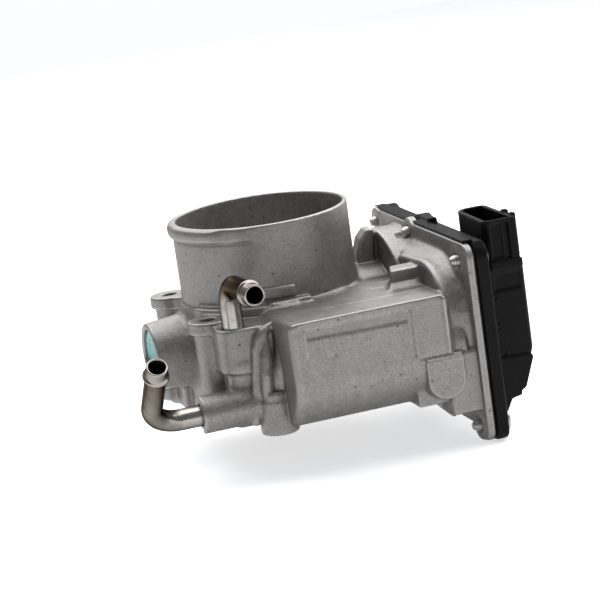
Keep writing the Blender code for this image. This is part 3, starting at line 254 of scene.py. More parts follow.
class Field:
    """A solid on a regular grid, as the distance to its surface in millimetres."""

    def __init__(self, low, high, step):
        self.step = step
        self.axes = [np.arange(a, b + step, step, dtype=np.float32) for a, b in zip(low, high)]
        self.grid = np.full([len(axis) for axis in self.axes], 40.0, np.float32)

    def window(self, shape, margin):
        cells, places = [], []
        for i, axis in enumerate(self.axes):
            first = max(0, int(np.searchsorted(axis, shape.low[i] - margin)))
            last = min(len(axis), int(np.searchsorted(axis, shape.high[i] + margin)) + 1)
            form = [1, 1, 1]
            form[i] = -1
            cells.append(slice(first, max(first, last)))
            places.append(axis[first:max(first, last)].reshape(form))
        return tuple(cells), places

    def add(self, shape, blend=2.0):
        cells, places = self.window(shape, blend + 2 * self.step)
        old, new = self.grid[cells], shape.distance(places)
        near = np.maximum(blend - np.abs(old - new), 0) / blend
        self.grid[cells] = np.minimum(old, new) - near * near * blend / 4

    def cut(self, shape, blend=0.5):
        cells, places = self.window(shape, blend + 2 * self.step)
        old, new = self.grid[cells], -shape.distance(places)
        near = np.maximum(blend - np.abs(old - new), 0) / blend
        self.grid[cells] = np.maximum(old, new) + near * near * blend / 4

    def raise_skin(self, shape, amount, soft=0.5):
        """Lifts (or with a negative amount sinks) the surface inside a shape, fading over soft mm."""
        cells, places = self.window(shape, soft + 2 * self.step)
        fade = np.clip(0.5 - shape.distance(places) / soft, 0, 1)
        self.grid[cells] -= amount * fade * fade * (3 - 2 * fade)


CORNERS = np.array([(a, b, c) for a in (0, 1) for b in (0, 1) for c in (0, 1)])


def cell_edges():
    """The twelve edges of a grid cell, as pairs of its corners."""
    return [(p, q) for p in range(8) for q in range(p + 1, 8) if abs(CORNERS[p] - CORNERS[q]).sum() == 1]


def corner_values(grid, cells):
    return np.stack([grid[tuple((cells + corner).T)] for corner in CORNERS], axis=1)


def settle(grid, cells, place, rounds=2):
    """Moves each cell's point onto the surface that the corner values describe."""
    values = corner_values(grid, cells)
    for _ in range(rounds):
        weight = [np.where(CORNERS[None, :, i] == 1, place[:, i:i + 1], 1 - place[:, i:i + 1]) for i in range(3)]
        sign = [np.where(CORNERS[None, :, i] == 1, 1.0, -1.0) for i in range(3)]
        height = (values * weight[0] * weight[1] * weight[2]).sum(1)
        slope = np.stack([
            (values * sign[0] * weight[1] * weight[2]).sum(1),
            (values * weight[0] * sign[1] * weight[2]).sum(1),
            (values * weight[0] * weight[1] * sign[2]).sum(1),
        ], axis=1)
        step = height[:, None] * slope / ((slope ** 2).sum(1)[:, None] + 1e-9)
        place = np.clip(place - step, 0.02, 0.98)
    return place


def skin(name, field):
    """A mesh of the field's surface: one point in each cell it crosses, one face round each edge it crosses."""
    grid = field.grid
    solid = grid < 0
    count = np.zeros([n - 1 for n in grid.shape], np.uint8)
    for a, b, c in CORNERS:
        count += solid[a:grid.shape[0] - 1 + a, b:grid.shape[1] - 1 + b, c:grid.shape[2] - 1 + c]
    cells = np.argwhere((count > 0) & (count < 8))
    values = corner_values(grid, cells)
    total, hits = np.zeros((len(cells), 3)), np.zeros(len(cells))
    for p, q in cell_edges():
        a, b = values[:, p], values[:, q]
        crossed = (a < 0) != (b < 0)
        part = np.where(crossed, a / np.where(crossed, a - b, 1), 0)[:, None]
        total += np.where(crossed[:, None], CORNERS[p] + part * (CORNERS[q] - CORNERS[p]), 0)
        hits += crossed
    place = settle(grid, cells, total / hits[:, None])
    start = np.array([axis[0] for axis in field.axes])
    points = start + (cells + place) * field.step
    number = np.full(count.shape, -1, np.int32)
    number[tuple(cells.T)] = np.arange(len(cells))
    faces = []
    for axis in range(3):
        u, v = (axis + 1) % 3, (axis + 2) % 3
        ahead = [slice(None)] * 3
        behind = [slice(None)] * 3
        ahead[axis], behind[axis] = slice(1, None), slice(None, -1)
        change = solid[tuple(behind)].astype(np.int8) - solid[tuple(ahead)]
        at = np.argwhere(change)
        at = at[(at[:, u] > 0) & (at[:, v] > 0) & (at[:, u] < grid.shape[u] - 1) & (at[:, v] < grid.shape[v] - 1)]
        outward = change[tuple(at.T)] > 0
        ring = []
        for du, dv in ((1, 1), (0, 1), (0, 0), (1, 0)):
            cell = at.copy()
            cell[:, u] -= du
            cell[:, v] -= dv
            ring.append(number[tuple(cell.T)])
        quad = np.stack(ring, axis=1)
        quad[~outward] = quad[~outward][:, ::-1]
        faces.append(quad)
    return mesh_piece(name, points, np.concatenate(faces))


def mesh_piece(name, points, faces):
    """A smooth-shaded object from points in millimetres from the crossing."""
    mesh = bpy.data.meshes.new(name)
    places = np.asarray(points, np.float64) * MM + FROM_CROSSING
    faces = np.asarray(faces, np.int32)
    sides = faces.shape[1]
    mesh.vertices.add(len(places))
    mesh.vertices.foreach_set("co", places.astype(np.float32).ravel())
    mesh.loops.add(faces.size)
    mesh.loops.foreach_set("vertex_index", faces.ravel())
    mesh.polygons.add(len(faces))
    mesh.polygons.foreach_set("loop_start", np.arange(0, faces.size, sides, dtype=np.int32))
    mesh.polygons.foreach_set("loop_total", np.full(len(faces), sides, np.int32))
    mesh.update(calc_edges=True)
    mesh.validate()
    mesh.shade_smooth()
    piece = bpy.data.objects.new(name, mesh)
    bpy.context.scene.collection.objects.link(piece)
    return piece


# ---------------------------------------------------------------- casting

def cast_tube(field):
    field.add(cylinder("z", TUBE_R, (BASE_Z, INLET_Z), edge=0.7), 0.1)
    field.add(cylinder("z", TUBE_FOOT_R, (BASE_Z, 19.0), edge=1.2), 1.5)


def cast_bead(field):
    """The hose bead under the rim: full on the left, fading out towards the front, smeared flat in one place."""
    centre_z, bulge, height = 50.7, 2.0, 2.9

    def distance(p):
        radial = np.hypot(p[0], p[1])
        angle = np.degrees(np.arctan2(p[1], p[0])) % 360
        fade = np.clip((254 - angle) / 30, 0, 1) * np.clip((angle - 82) / 24, 0, 1)
        patch = np.exp(-((angle - 231) / 8.5) ** 2 * 1.3)
        reach = bulge * fade * (1 - 0.75 * patch)
        above = (p[2] - centre_z) / height
        profile = np.sqrt(np.clip(1 - above * above, 0, 1)) ** 0.7
        return np.maximum(radial - TUBE_R - reach * profile, np.abs(p[2] - centre_z) - height)

    shape = Shape([-42.0, -42.0, 46.0], [42.0, 42.0, 54.0], distance)
    field.add(shape, 0.3)
    groove = within(cylinder("z", TUBE_R + 0.6, (47.0, 47.9), edge=0.1),
                    lambda p: np.maximum(TUBE_R - 0.25 - np.hypot(p[0], p[1]), p[0] + 14.0))
    field.cut(groove, 0.4)


def cast_lugs(field):
    for side_x in (-1, 1):
        for side_y in (-1, 1):
            centre = (side_x * LUG_X, side_y * LUG_Y)
            foot_z = BASE_Z + 2.6 if side_x < 0 and side_y < 0 else BASE_Z
            column = cylinder("z", LUG_COLUMN_R, (foot_z, LUG_TOP_Z - 2.0), centre, 0.5, 0.012)
            field.add(column, 1.5)
            inner = Vector(centre) * 0.72
            for half, span in ((LUG_COLUMN_R - 1.4, (foot_z + 0.4, LUG_TOP_Z - 4.0)),
                               (LUG_R - 1.2, (LUG_TOP_Z - LUG_EAR_H, LUG_TOP_Z))):
                across = Vector((-centre[1], centre[0])).normalized() * half
                web = [Vector(centre) + across, Vector(centre) - across, inner - across, inner + across]
                field.add(prism("z", [tuple(c) for c in web], span, 0.6), 1.5)
            ear = cylinder("z", LUG_R, (LUG_TOP_Z - LUG_EAR_H, LUG_TOP_Z), centre, 0.7)
            field.add(ear, 0.8)


def cast_shaft_bosses(field):
    field.add(cylinder("x", 15.4, (-56.6, -33.0), edge=0.7, growth=0.1), 5.0)
    field.add(cylinder("x", 22.6, (28.0, 52.0), edge=1.0), 1.2)
    drum = cylinder("x", CHAMBER_R + CHAMBER_WALL + 1.2, (CHAMBER_X[0], FLANGE_X[0] + 0.5), edge=1.0)
    field.add(drum, 0.8)
    ear = rounded(((40.5, 10.0, 0.5), (48.0, 10.0, 0.5), (48.0, 25.0, 1.0), (49.3, 36.5, 1.0), (46.0, 36.9, 1.6),
                   (42.4, 33.0, 3.0), (40.5, 27.0, 3.0)))
    field.add(prism("y", ear, (-3.4, 5.0), 0.8), 0.8)
    field.add(block((47.0, 51.5), (-2.2, 5.0), (10.0, 34.6), 0.6), 0.8)
    field.add(cylinder("x", 8.0, (44.0, 56.0), IDLER, 1.5), 4.0)


def motor_outline():
    """The motor housing's section across X: a round belly, a flat front and a square shoulder."""
    y, z = MOTOR
    belly = [(y + HOUSING_R * math.cos(a), z + HOUSING_R * math.sin(a))
             for a in (math.pi + math.pi * i / 40 for i in range(41))]
    crest_r = 1.3
    crest = [(FRONT_Y + crest_r - crest_r * math.cos(a), CREST_Z - crest_r + crest_r * math.sin(a))
             for a in (math.pi / 2 * (1 - i / 6) for i in range(7))]
    return belly + [(-30.0, z), (-30.0, CREST_Z - 1.6)] + crest


def cast_motor_housing(field):
    field.add(prism("x", motor_outline(), (HOUSING_X[0], 53.0), 3.0), 2.5)
    field.add(block((-13.0, 58.0), (-60.0, -30.0), (-22.0, 17.8), 1.5), 3.0)
    field.add(cylinder("x", 19.4, (50.0, 59.6), MOTOR, 2.0), 2.0)
    field.add(block((27.0, 58.0), (-44.0, -6.0), (-20.0, CREST_Z - 2.0), 1.5), 1.5)


def cast_front_relief(field):
    """The shallow steps on the motor housing's front: label panel, right-hand field, edge rib and round pad."""
    y = FRONT_Y
    field.add(block((36.2, 51.2), (y, y + 6.0), (-4.2, CREST_Z - 0.8), 0.5), 0.4)
    band = rounded(((-9.6, 16.9, 0.6), (34.0, 16.9, 1.8), (34.0, 11.6, 0.5), (-9.6, 12.4, 0.6)), 4)
    field.raise_skin(prism("y", band, (y - 4.0, y + 4.0), 0.2), -0.42, 0.6)
    field.raise_skin(block((-10.6, -9.8), (y - 3.0, y + 3.0), (5.0, 16.0), 0.3), 0.3, 0.8)
    field.raise_skin(block((35.0, 36.0), (y - 3.0, y + 3.0), (-3.6, 17.2), 0.3), -0.4, 0.8)
    field.raise_skin(block((-12.6, -11.8), (y - 3.0, y + 6.0), (-8.0, 12.0), 0.3), -0.3, 1.4)
    field.add(bar((-12.0, y + 0.75, CREST_Z - 0.62), (50.0, y + 0.75, CREST_Z - 0.62), 0.85), 0.3)
    field.add(bar((50.3, y - 0.1, CREST_Z - 1.6), (50.3, y + 0.3, -3.8), 0.95), 0.5)
    pad_top, pad_middle, pad_half = -6.0, -15.6, 8.2
    pad = [(47.4 - pad_half, pad_top), (47.4 + pad_half, pad_top)]
    pad += [(47.4 + pad_half * math.cos(a), pad_middle - pad_half * math.sin(a))
            for a in (math.pi * i / 16 for i in range(17))]
    field.add(prism("y", pad, (-81.6, -56.0), 0.5), 0.5)
    field.add(prism("y", pad, (-79.0, -56.0), 0.5), 1.6)
    ledge = [(37.6, -7.0), (37.6, -5.4), (55.6, -5.0), (55.6, -7.0)]
    field.add(prism("y", ledge, (y - 0.45, y + 4.0), 0.3), 0.3)
    field.add(block((38.8, 62.4), (-77.6, -50.0), (-15.0, -5.6), 1.0), 1.0)


def cast_case(field):
    field.add(prism("x", rounded(CASE), (53.4, FLANGE_X[0] + 0.5), 2.0, -0.4), 0.8)
    hump = rounded(((-76.0, 30.8, 23.0), (-20.0, 27.4, 8.0), (-20.0, -26.0, 4.0), (-50.0, -33.0, 8.0),
                    (-76.0, -34.0, 8.0)), 16)
    field.add(prism("x", hump, (51.6, FLANGE_X[0] + 0.5), 2.0, 0.1), 1.2)
    field.add(prism("x", rounded(FLANGE), FLANGE_X, 0.7), 2.2)
    for centre in COVER_SCREWS:
        field.add(cylinder("x", 6.2, (FLANGE_X[0] - 0.3, FLANGE_X[1]), centre, 0.7), 1.5)
        beside_drum = math.hypot(*centre) < 45.0
        room = 2.8 if beside_drum else 3.8
        field.cut(cylinder("x", room, (FLANGE_X[0] - 4.6, FLANGE_X[0] + 0.1), centre, 0.6), 0.6)
    pad = [(38.9, -50.2), (55.0, -50.2), (55.0, -39.6), (42.0, -39.6)]
    field.add(prism("z", [(u - 0.6, v - 0.8) for u, v in pad], (12.0, 21.4), 1.0), 4.0)
    field.add(prism("z", pad, (12.0, 27.0), 0.8), 0.8)
    field.add(block((36.2, 52.6), (-74.6, -46.0), (-26.8, -14.0), 0.6), 0.9)
    web = [(45.6, -24.0), (54.4, -24.0), (54.4, -35.8), (53.0, -35.8), (47.2, -29.8)]
    field.add(prism("y", web, (-67.0, -63.0), 0.6), 0.6)
    field.add(block((49.1, 62.5), (-79.2, -62.0), (-32.0, -6.0), 1.2), 0.8)


def cast_coolant_bosses(field):
    x, y = UPPER_PIPE_AT
    body = rounded(((-38.0, -34.0, 1.0), (-6.0, -34.0, 1.0), (-6.0, -54.0, 3.0), (-38.0, -54.0, 6.5)))
    field.add(prism("z", body, (-2.0, 16.4), 0.8), 1.2)
    field.add(block((-34.5, -9.5), (-50.6, -34.0), (-25.4, 2.0), 1.2), 1.5)
    field.add(cylinder("x", 7.9, (-50.4, -20.0), LOWER_PIPE_AT, 0.6), 2.5)
    field.add(cylinder("z", 6.0, (-18.0, 2.0), (x + 1.0, y + 0.5), 1.0), 3.0)
    field.add(block((-26.6, -8.0), (-53.4, -35.0), (-25.0, 9.0), 2.5), 3.0)
    field.add(block((-22.8, -8.0), (-56.4, -40.0), (-24.0, 4.0), 3.0), 3.0)
    arch = ((-17.0, -54.6, 15.6, 1.6), (-20.6, -54.8, 13.8, 1.8), (-23.0, -55.0, 11.0, 1.9), (-24.4, -55.0, 7.0, 1.9),
            (-25.2, -55.0, 1.0, 1.9), (-26.6, -55.0, -10.0, 1.9), (-28.4, -54.6, -23.0, 1.9))
    wave = ((-19.6, -56.2, 12.4, 0.7), (-20.2, -57.0, 8.0, 1.5), (-21.0, -57.6, 3.0, 2.2), (-22.0, -58.0, -4.0, 2.7),
            (-22.6, -57.4, -11.0, 2.9))
    spur = ((-15.0, -57.4, 8.6, 0.7), (-15.6, -58.4, 4.0, 1.4), (-16.4, -59.2, -2.0, 2.0), (-16.8, -58.8, -7.0, 2.3),
            (-16.8, -57.8, -11.0, 2.4))
    for stations, soft in ((arch, 1.2), (wave, 2.0), (spur, 2.0)):
        field.add(ridge(stations), soft)
    foot = (-18.6, -54.8)
    field.add(cylinder("z", 7.9, (-29.2, -14.6), foot, 1.0, -0.02), 0.4)
    field.add(cylinder("z", 6.7, (-20.0, -10.8), (foot[0] - 0.2, foot[1] - 0.8), 1.3), 0.4)
    notch = block((-51.4, -48.6), (LOWER_PIPE_AT[0] - 1.5, LOWER_PIPE_AT[0] + 5.0), (-26.0, -22.6), 0.4)
    field.cut(notch, 0.5)
    foot = rounded(((-47.2, 25.0, 3.0), (-30.0, 25.0, 1.0), (-30.0, 39.0, 1.0), (-47.2, 39.0, 6.0)))
    field.add(prism("z", foot, (-27.6, -21.6), 0.8), 1.6)
    field.add(block((-41.6, -28.0), (13.0, 27.0), (-30.0, -19.0), 1.6), 2.5)


def cast_ledges(field):
    """The ledge round the tube's foot on the motor side, and the small pad above it."""
    ledge = cylinder("z", 42.4, (10.0, 20.6), edge=0.8)
    middle = math.radians(237.0)
    field.add(within(ledge, lambda p: np.hypot(p[0], p[1]) * math.cos(math.radians(33.0))
                     - p[0] * math.cos(middle) - p[1] * math.sin(middle)), 2.0)
    pad = block((-13.4, 0.6), (-40.6, -36.0), (22.8, 27.0), 0.5)
    field.add(within(pad, lambda p: np.hypot(p[0], p[1]) - TUBE_R - 0.9), 0.5)
    field.add(block((-11.5, 6.5), (-41.0, -36.0), (18.8, 21.6), 0.7), 0.8)


def cut_bores(field):
    field.cut(cylinder("z", BORE_R, (BASE_Z - 5.0, INLET_Z + 5.0), edge=0.1), 0.4)
    taper = (RIM_BORE_R - BORE_R) / (INLET_Z - TAPER_FROM_Z)
    middle = BORE_R + taper * (INLET_Z + 5.0 - TAPER_FROM_Z) / 2
    field.cut(cylinder("z", middle, (TAPER_FROM_Z, INLET_Z + 5.0), edge=0.1, growth=taper), 0.8)
    for side_x in (-1, 1):
        for side_y in (-1, 1):
            blind = side_x == 1 and side_y == -1
            top = BASE_Z + 20.0 if blind else LUG_TOP_Z + 4.0
            field.cut(cylinder("z", LUG_HOLE_R, (BASE_Z - 4.0, top), (side_x * LUG_X, side_y * LUG_Y), 0.1), 0.8)
    for radius, span in ((11.7, (-60.0, -50.9)), (8.3, (-51.0, -37.1)), (5.3, (-38.0, -30.0)),
                         (5.3, (30.0, 39.0)), (8.3, (38.7, 43.8)), (11.3, (43.7, 56.0))):
        field.cut(cylinder("x", radius, span, edge=0.1))
    x, y = UPPER_PIPE_AT
    low_y, low_z = LOWER_PIPE_AT
    field.cut(cylinder("z", PIPE_R + 0.1, (4.0, 20.0), (x, y), 0.1), 0.6)
    field.cut(cylinder("z", 3.4, (low_z, 5.0), (x, y - 0.4), 0.1))
    field.cut(cylinder("x", PIPE_R + 0.25, (-54.0, -38.0), LOWER_PIPE_AT, 0.1), 0.6)
    field.cut(cylinder("x", 3.4, (-39.0, x + 2.0), LOWER_PIPE_AT, 0.1))
    out = FLANGE_X[1] + 3.0
    field.cut(cylinder("x", CHAMBER_R, (CHAMBER_X[1], out), edge=0.5))
    pocket = [(u, v) for u, v in rounded(CASE)]
    field.cut(inset_prism("x", pocket, (CASE_FLOOR_X, out), CASE_WALL_T))
    field.cut(cylinder("x", 16.9, (-9.6, CASE_FLOOR_X + 1.0), MOTOR, 0.1))
    field.cut(cylinder("x", 3.1, (48.0, CASE_FLOOR_X + 1.0), IDLER, 0.1))
    for side in (-1, 1):
        field.cut(cylinder("x", 1.8, (48.5, CASE_FLOOR_X + 1.0), (MOTOR[0], MOTOR[1] + side * 20.8), 0.1))
    for centre in COVER_SCREWS:
        field.cut(cylinder("x", SCREW_HOLE_R, (FLANGE_X[0] - 6.0, out), centre, 0.1))


def inset_prism(axis, outline, span, inset, edge=0.8):
    """The outline's inside, moved in by a wall's thickness."""
    shape = prism(axis, outline, span, edge)
    i, j, k = others(axis)
    middle, half = sum(span) / 2, (span[1] - span[0]) / 2

    def distance(p):
        return soft_corner(outline_distance(outline, p[j], p[k]) + inset, np.abs(p[i] - middle) - half, edge)

    return Shape(shape.low, shape.high, distance)


def build_casting():
    step = 0.6
    field = Field((-59.0, -84.5, -48.5), (67.0, 43.0, 56.5), step)
    cast_tube(field)
    cast_bead(field)
    cast_lugs(field)
    cast_ledges(field)
    cast_shaft_bosses(field)
    cast_motor_housing(field)
    cast_coolant_bosses(field)
    cast_case(field)
    cast_front_relief(field)
    cut_bores(field)
    return skin("casting", field)


# ---------------------------------------------------------------- gear cover

RIM_X, EAR_X, RIM_ROOF_X, COVER_T = (66.1, 71.3), 72.4, 69.2, 2.6
ROOF_X, DOME_Y = 90.3, (-72.0, 23.5)
DOME = ((66.6, 25.8, 1.0), (ROOF_X, 25.8, 2.5), (ROOF_X, -12.0, 3.0), (84.2, -29.2, 3.0), (66.6, -29.2, 1.0))
SOCKET_X, SOCKET_Y, SOCKET_Z, SOCKET_WALL, SOCKET_FLOOR = (74.6, 89.3), (-71.8, -35.0), (24.0, 44.2), 1.9, 28.5


def grown(shape, amount):
    """A shape with its surface moved out (or in) by an amount."""
    low = [v - amount for v in shape.low]
    high = [v + amount for v in shape.high]
    return Shape(low, high, lambda p: shape.distance(p) - amount)


def build_cover():
    field = Field((62.0, -84.5, -48.0), (93.0, 41.0, 47.0), 0.45)
    outline = rounded(FLANGE)
    field.add(grown(prism("x", outline, (RIM_X[0] + 0.5, RIM_X[1] - 0.5), 0.4), 0.5), 0.1)
    field.add(block((62.6, RIM_X[0] + 1.0), (-77.0, 33.5), (38.5, 39.5), 0.3), 0.2)
    for centre in COVER_SCREWS:
        field.cut(cylinder("x", 6.6, (FLANGE_X[0] - 1.0, RIM_X[0]), centre, 0.2), 0.2)
    for centre in COVER_SCREWS:
        field.add(cylinder("x", 6.7, (RIM_X[0], EAR_X), centre, 0.8), 1.2)
    field.add(prism("y", ((70.0, -24.0), (83.6, -26.0), (82.4, -31.2), (78.0, -32.0), (75.0, -37.6), (70.0, -38.6)),
                    (DOME_Y[0] - 0.3, -58.0), 0.8), 1.0)
    field.add(block((RIM_X[0] + 0.4, RIM_X[1] - 0.3), (-26.0, -12.0), (35.0, 40.8), 0.9), 0.8)
    field.add(prism("y", rounded(DOME), DOME_Y, 2.4), 1.0)
    lower = rounded(((73.2, -13.4, 0.6), (89.9, -14.4, 1.5), (84.3, -29.1, 3.0), (73.2, -29.1, 0.6)))
    field.add(prism("y", lower, (DOME_Y[0] - 0.55, -60.0), 0.5), 0.3)
    socket = rounded(((SOCKET_X[0], SOCKET_Y[0], 3.4), (SOCKET_X[1], SOCKET_Y[0], 1.2),
                      (SOCKET_X[1], SOCKET_Y[1], 3.0), (SOCKET_X[0] + 1.2, SOCKET_Y[1], 5.5)))
    field.add(prism("z", socket, SOCKET_Z, 0.5), 0.8)
    for y, deep in ((-66.6, 1.3), (-57.6, 1.7)):
        field.add(block((SOCKET_X[1] - 1.0, SOCKET_X[1] + deep), (y - 1.6, y + 1.6), (27.0, SOCKET_Z[1] + 0.9), 0.5), 0.5)
    field.add(block((SOCKET_X[1] - 1.0, SOCKET_X[1] + 1.6), (-56.0, -50.0), (34.0, 42.0), 0.7), 0.6)
    ledge = rounded(((SOCKET_X[0] + 0.6, SOCKET_Y[0] - 0.6, 1.0), (ROOF_X - 0.2, SOCKET_Y[0] - 0.6, 1.6),
                     (ROOF_X - 0.2, -34.0, 1.0), (SOCKET_X[0] + 0.6, -34.0, 1.0)))
    field.add(prism("z", ledge, (23.0, 26.6), 0.5), 0.4)
    for x, z in ((75.9, 12.0), (75.9, -1.0), (77.0, -12.0)):
        ring = cylinder("y", 1.5, (DOME_Y[0] - 0.3, DOME_Y[0] + 1.0), (x, z), 0.2)
        field.add(ring, 0.2)
        field.cut(cylinder("y", 0.9, (DOME_Y[0] - 1.0, DOME_Y[0] + 0.1), (x, z), 0.1), 0.2)
    mouth = grown(prism("z", socket, (SOCKET_FLOOR + SOCKET_WALL, SOCKET_Z[1] + 6.0), 0.4), -SOCKET_WALL)
    field.cut(mouth, 0.5)
    field.cut(block((83.0, 85.2), (SOCKET_Y[0] - 2.0, SOCKET_Y[0] + 1.3), (27.2, SOCKET_Z[1] - 1.4), 0.3), 0.4)
    field.cut(block((77.4, 82.0), (SOCKET_Y[0] - 2.0, SOCKET_Y[0] + 0.6), (28.0, SOCKET_Z[1] - 1.6), 0.3), 0.8)
    field.cut(block((76.4, 87.6), (DOME_Y[0] - 2.0, DOME_Y[0] + 0.45), (14.6, 21.4), 0.3), 0.8)
    for y in (-61.0, -53.4, -45.8):
        field.cut(block((80.0, 84.0), (y - 2.6, y + 2.6), (SOCKET_FLOOR - 0.7, SOCKET_FLOOR + 3.0), 0.2), 0.3)
    case = rounded(CASE)
    field.cut(inset_prism("x", case, (RIM_X[0] - 4.0, RIM_ROOF_X), CASE_WALL_T))
    field.cut(cylinder("x", CHAMBER_R - 0.4, (RIM_X[0] - 4.0, RIM_ROOF_X - 0.1), edge=0.4))
    field.cut(grown(prism("y", rounded(DOME), DOME_Y, 0.6), -COVER_T))
    for i in range(6):
        y = sum(SOCKET_Y) / 2 + (i - 2.5) * 4.6
        x = sum(SOCKET_X) / 2
        field.cut(block((x - 0.6, x + 0.6), (y - 0.95, y + 0.95), (18.0, SOCKET_FLOOR + 3.0), 0.1), 0.1)
    for centre in COVER_SCREWS:
        field.cut(cylinder("x", SCREW_HOLE_R, (RIM_X[0] - 3.0, EAR_X + 2.0), centre, 0.1), 0.3)
    pin_socket = cylinder("x", 6.0, (71.5, ROOF_X - COVER_T + 0.6), IDLER, 0.4)
    field.add(pin_socket, 0.6)
    field.cut(cylinder("x", 3.2, (70.0, ROOF_X - COVER_T + 0.3), IDLER, 0.1))
    return skin("cover", field)


def build_seal():
    """The gasket between the flange and the cover's rim, on the flange's outline."""
    span = (FLANGE_X[1] + 0.1, RIM_X[0] - 0.1)
    through = (span[0] - 2.0, span[1] + 2.0)
    field = Field((span[0] - 0.9, -84.5, -48.0), (span[1] + 0.9, 41.0, 41.0), 0.3)
    field.add(inset_prism("x", rounded(FLANGE), span, 1.2, 0.1), 0.1)
    field.cut(inset_prism("x", rounded(CASE), through, CASE_WALL_T - 0.4), 0.1)
    field.cut(cylinder("x", CHAMBER_R + 0.6, through, edge=0.1), 0.1)
    for centre in COVER_SCREWS:
        field.cut(cylinder("x", SCREW_HOLE_R, through, centre, 0.1), 0.1)
    return skin("seal", field)


# ---------------------------------------------------------------- turned and bent pieces

def lathe(name, axis, profile, centre=(0.0, 0.0), count=96):
    """A closed surface of revolution; profile holds (along, radius) pairs round a closed section, or open
    from the axis to the axis."""
    order = others(axis)
    points = []
    for along, radius in profile:
        for i in range(count):
            angle = TAU * i / count
            point = [0.0] * 3
            spot = (along, centre[0] + radius * math.cos(angle), centre[1] + radius * math.sin(angle))
            for place, value in zip(order, spot):
                point[place] = value
            points.append(point)
    return mended(mesh_piece(name, points, wrapped_faces(len(profile), count)))


def mended(piece):
    """Welds the points that fall together and turns every face outwards."""
    mesh = bmesh.new()
    mesh.from_mesh(piece.data)
    bmesh.ops.remove_doubles(mesh, verts=mesh.verts, dist=1e-6)
    bmesh.ops.dissolve_degenerate(mesh, edges=mesh.edges, dist=1e-7)
    bmesh.ops.recalc_face_normals(mesh, faces=mesh.faces)
    mesh.to_mesh(piece.data)
    mesh.free()
    piece.data.shade_smooth()
    piece.data.set_sharp_from_angle(angle=math.radians(38.0))
    return piece


def arc(centre, radius, first, last, steps):
    """Points (along, radius) of an arc in a turned profile; angles in degrees from +along."""
    return [(centre[0] + radius * math.cos(math.radians(first + (last - first) * i / steps)),
             centre[1] + radius * math.sin(math.radians(first + (last - first) * i / steps)))
            for i in range(steps + 1)]


def build_plug():
    """The pressed steel plug: a dished disc with a rolled lip, its face sealed blue-green."""
    x = -55.2
    profile = [(x + 1.9, 0.0), (x + 1.9, 5.0), (x + 1.7, 8.4)]
    profile += arc((x + 0.9, 10.6), 0.9, 90.0, 180.0, 6)[::-1]
    profile += arc((x + 0.9, 10.5), 0.9, 180.0, 90.0, 6)
    profile += [(x + 4.0, 11.4), (x + 4.0, 10.4), (x + 2.9, 9.6), (x + 2.9, 0.0)]
    return lathe("plug", "x", profile)


def bend(start, corner, end, radius, steps=28):
    """A path of two straights and the arc between them."""
    start, corner, end = Vector(start), Vector(corner), Vector(end)
    back, ahead = (start - corner).normalized(), (end - corner).normalized()
    half = back.angle(ahead) / 2
    reach = radius / math.tan(half)
    centre = corner + (back + ahead).normalized() * (radius / math.sin(half))
    spoke = corner + back * reach - centre
    axis = spoke.cross(corner + ahead * reach - centre).normalized()
    turn = math.pi - 2 * half
    return [start] + [centre + Matrix.Rotation(turn * k / steps, 3, axis) @ spoke for k in range(steps + 1)] + [end]


def build_pipe(name, path, count=56):
    """A bent tube: outside with its hose bead, the rounded lip of the mouth, and the bore."""
    ahead = [(b - a).normalized() for a, b in zip(path, path[1:])]
    headings = [ahead[0]] + [(a + b).normalized() for a, b in zip(ahead, ahead[1:])]
    outward = ahead[-1]
    stations = [(point, heading, PIPE_R) for point, heading in zip(path[:-1], headings)]

    def near_mouth(back, radius):
        stations.append((path[-1] - outward * back, outward, radius))

    for i in range(17):
        offset = 2.0 * i / 16 - 1.0
        swell = (PIPE_BEAD_R - PIPE_R) * (0.5 + 0.5 * math.cos(math.pi * offset)) ** 0.8
        near_mouth(BEAD_FROM_MOUTH + BEAD_LENGTH / 2 - offset * BEAD_LENGTH / 2, PIPE_R + swell)
    lip = (PIPE_R - PIPE_BORE_R) / 2
    for i in range(9):
        angle = math.pi * i / 8
        near_mouth(lip - lip * math.sin(angle), PIPE_BORE_R + lip + lip * math.cos(angle))
    stations += [(point, heading, PIPE_BORE_R) for point, heading in zip(path[-2::-1], headings[::-1])]
    points, faces = [], []
    side = stations[0][1].orthogonal()
    for point, heading, radius in stations:
        side = (side - heading * side.dot(heading)).normalized()
        across = heading.cross(side)
        for i in range(count):
            angle = TAU * i / count
            points.append(point + side * (radius * math.cos(angle)) + across * (radius * math.sin(angle)))
    return mended(mesh_piece(name, points, wrapped_faces(len(stations), count)))


def wrapped_faces(rows, count):
    """Quads of a torus-like grid of points: rows round the section, count round the axis."""
    faces = []
    for row in range(rows):
        below = (row + 1) % rows
        for i in range(count):
            j = (i + 1) % count
            faces.append((row * count + i, row * count + j, below * count + j, below * count + i))
    return faces


def build_pipes():
    x, y = UPPER_PIPE_AT
    top = 35.2
    upper = build_pipe("upper_pipe", bend((x, y, 5.0), (x, y, top), (x + 2.2, y - 33.5, top), 10.5))
    y, z = LOWER_PIPE_AT
    rise, length = math.radians(48.0), 41.0
    mouth = (-71.2, y - length * math.cos(rise), z + length * math.sin(rise))
    lower = build_pipe("lower_pipe", bend((-39.5, y, z), (-72.0, y, z), mouth, 13.0))
    return upper, lower


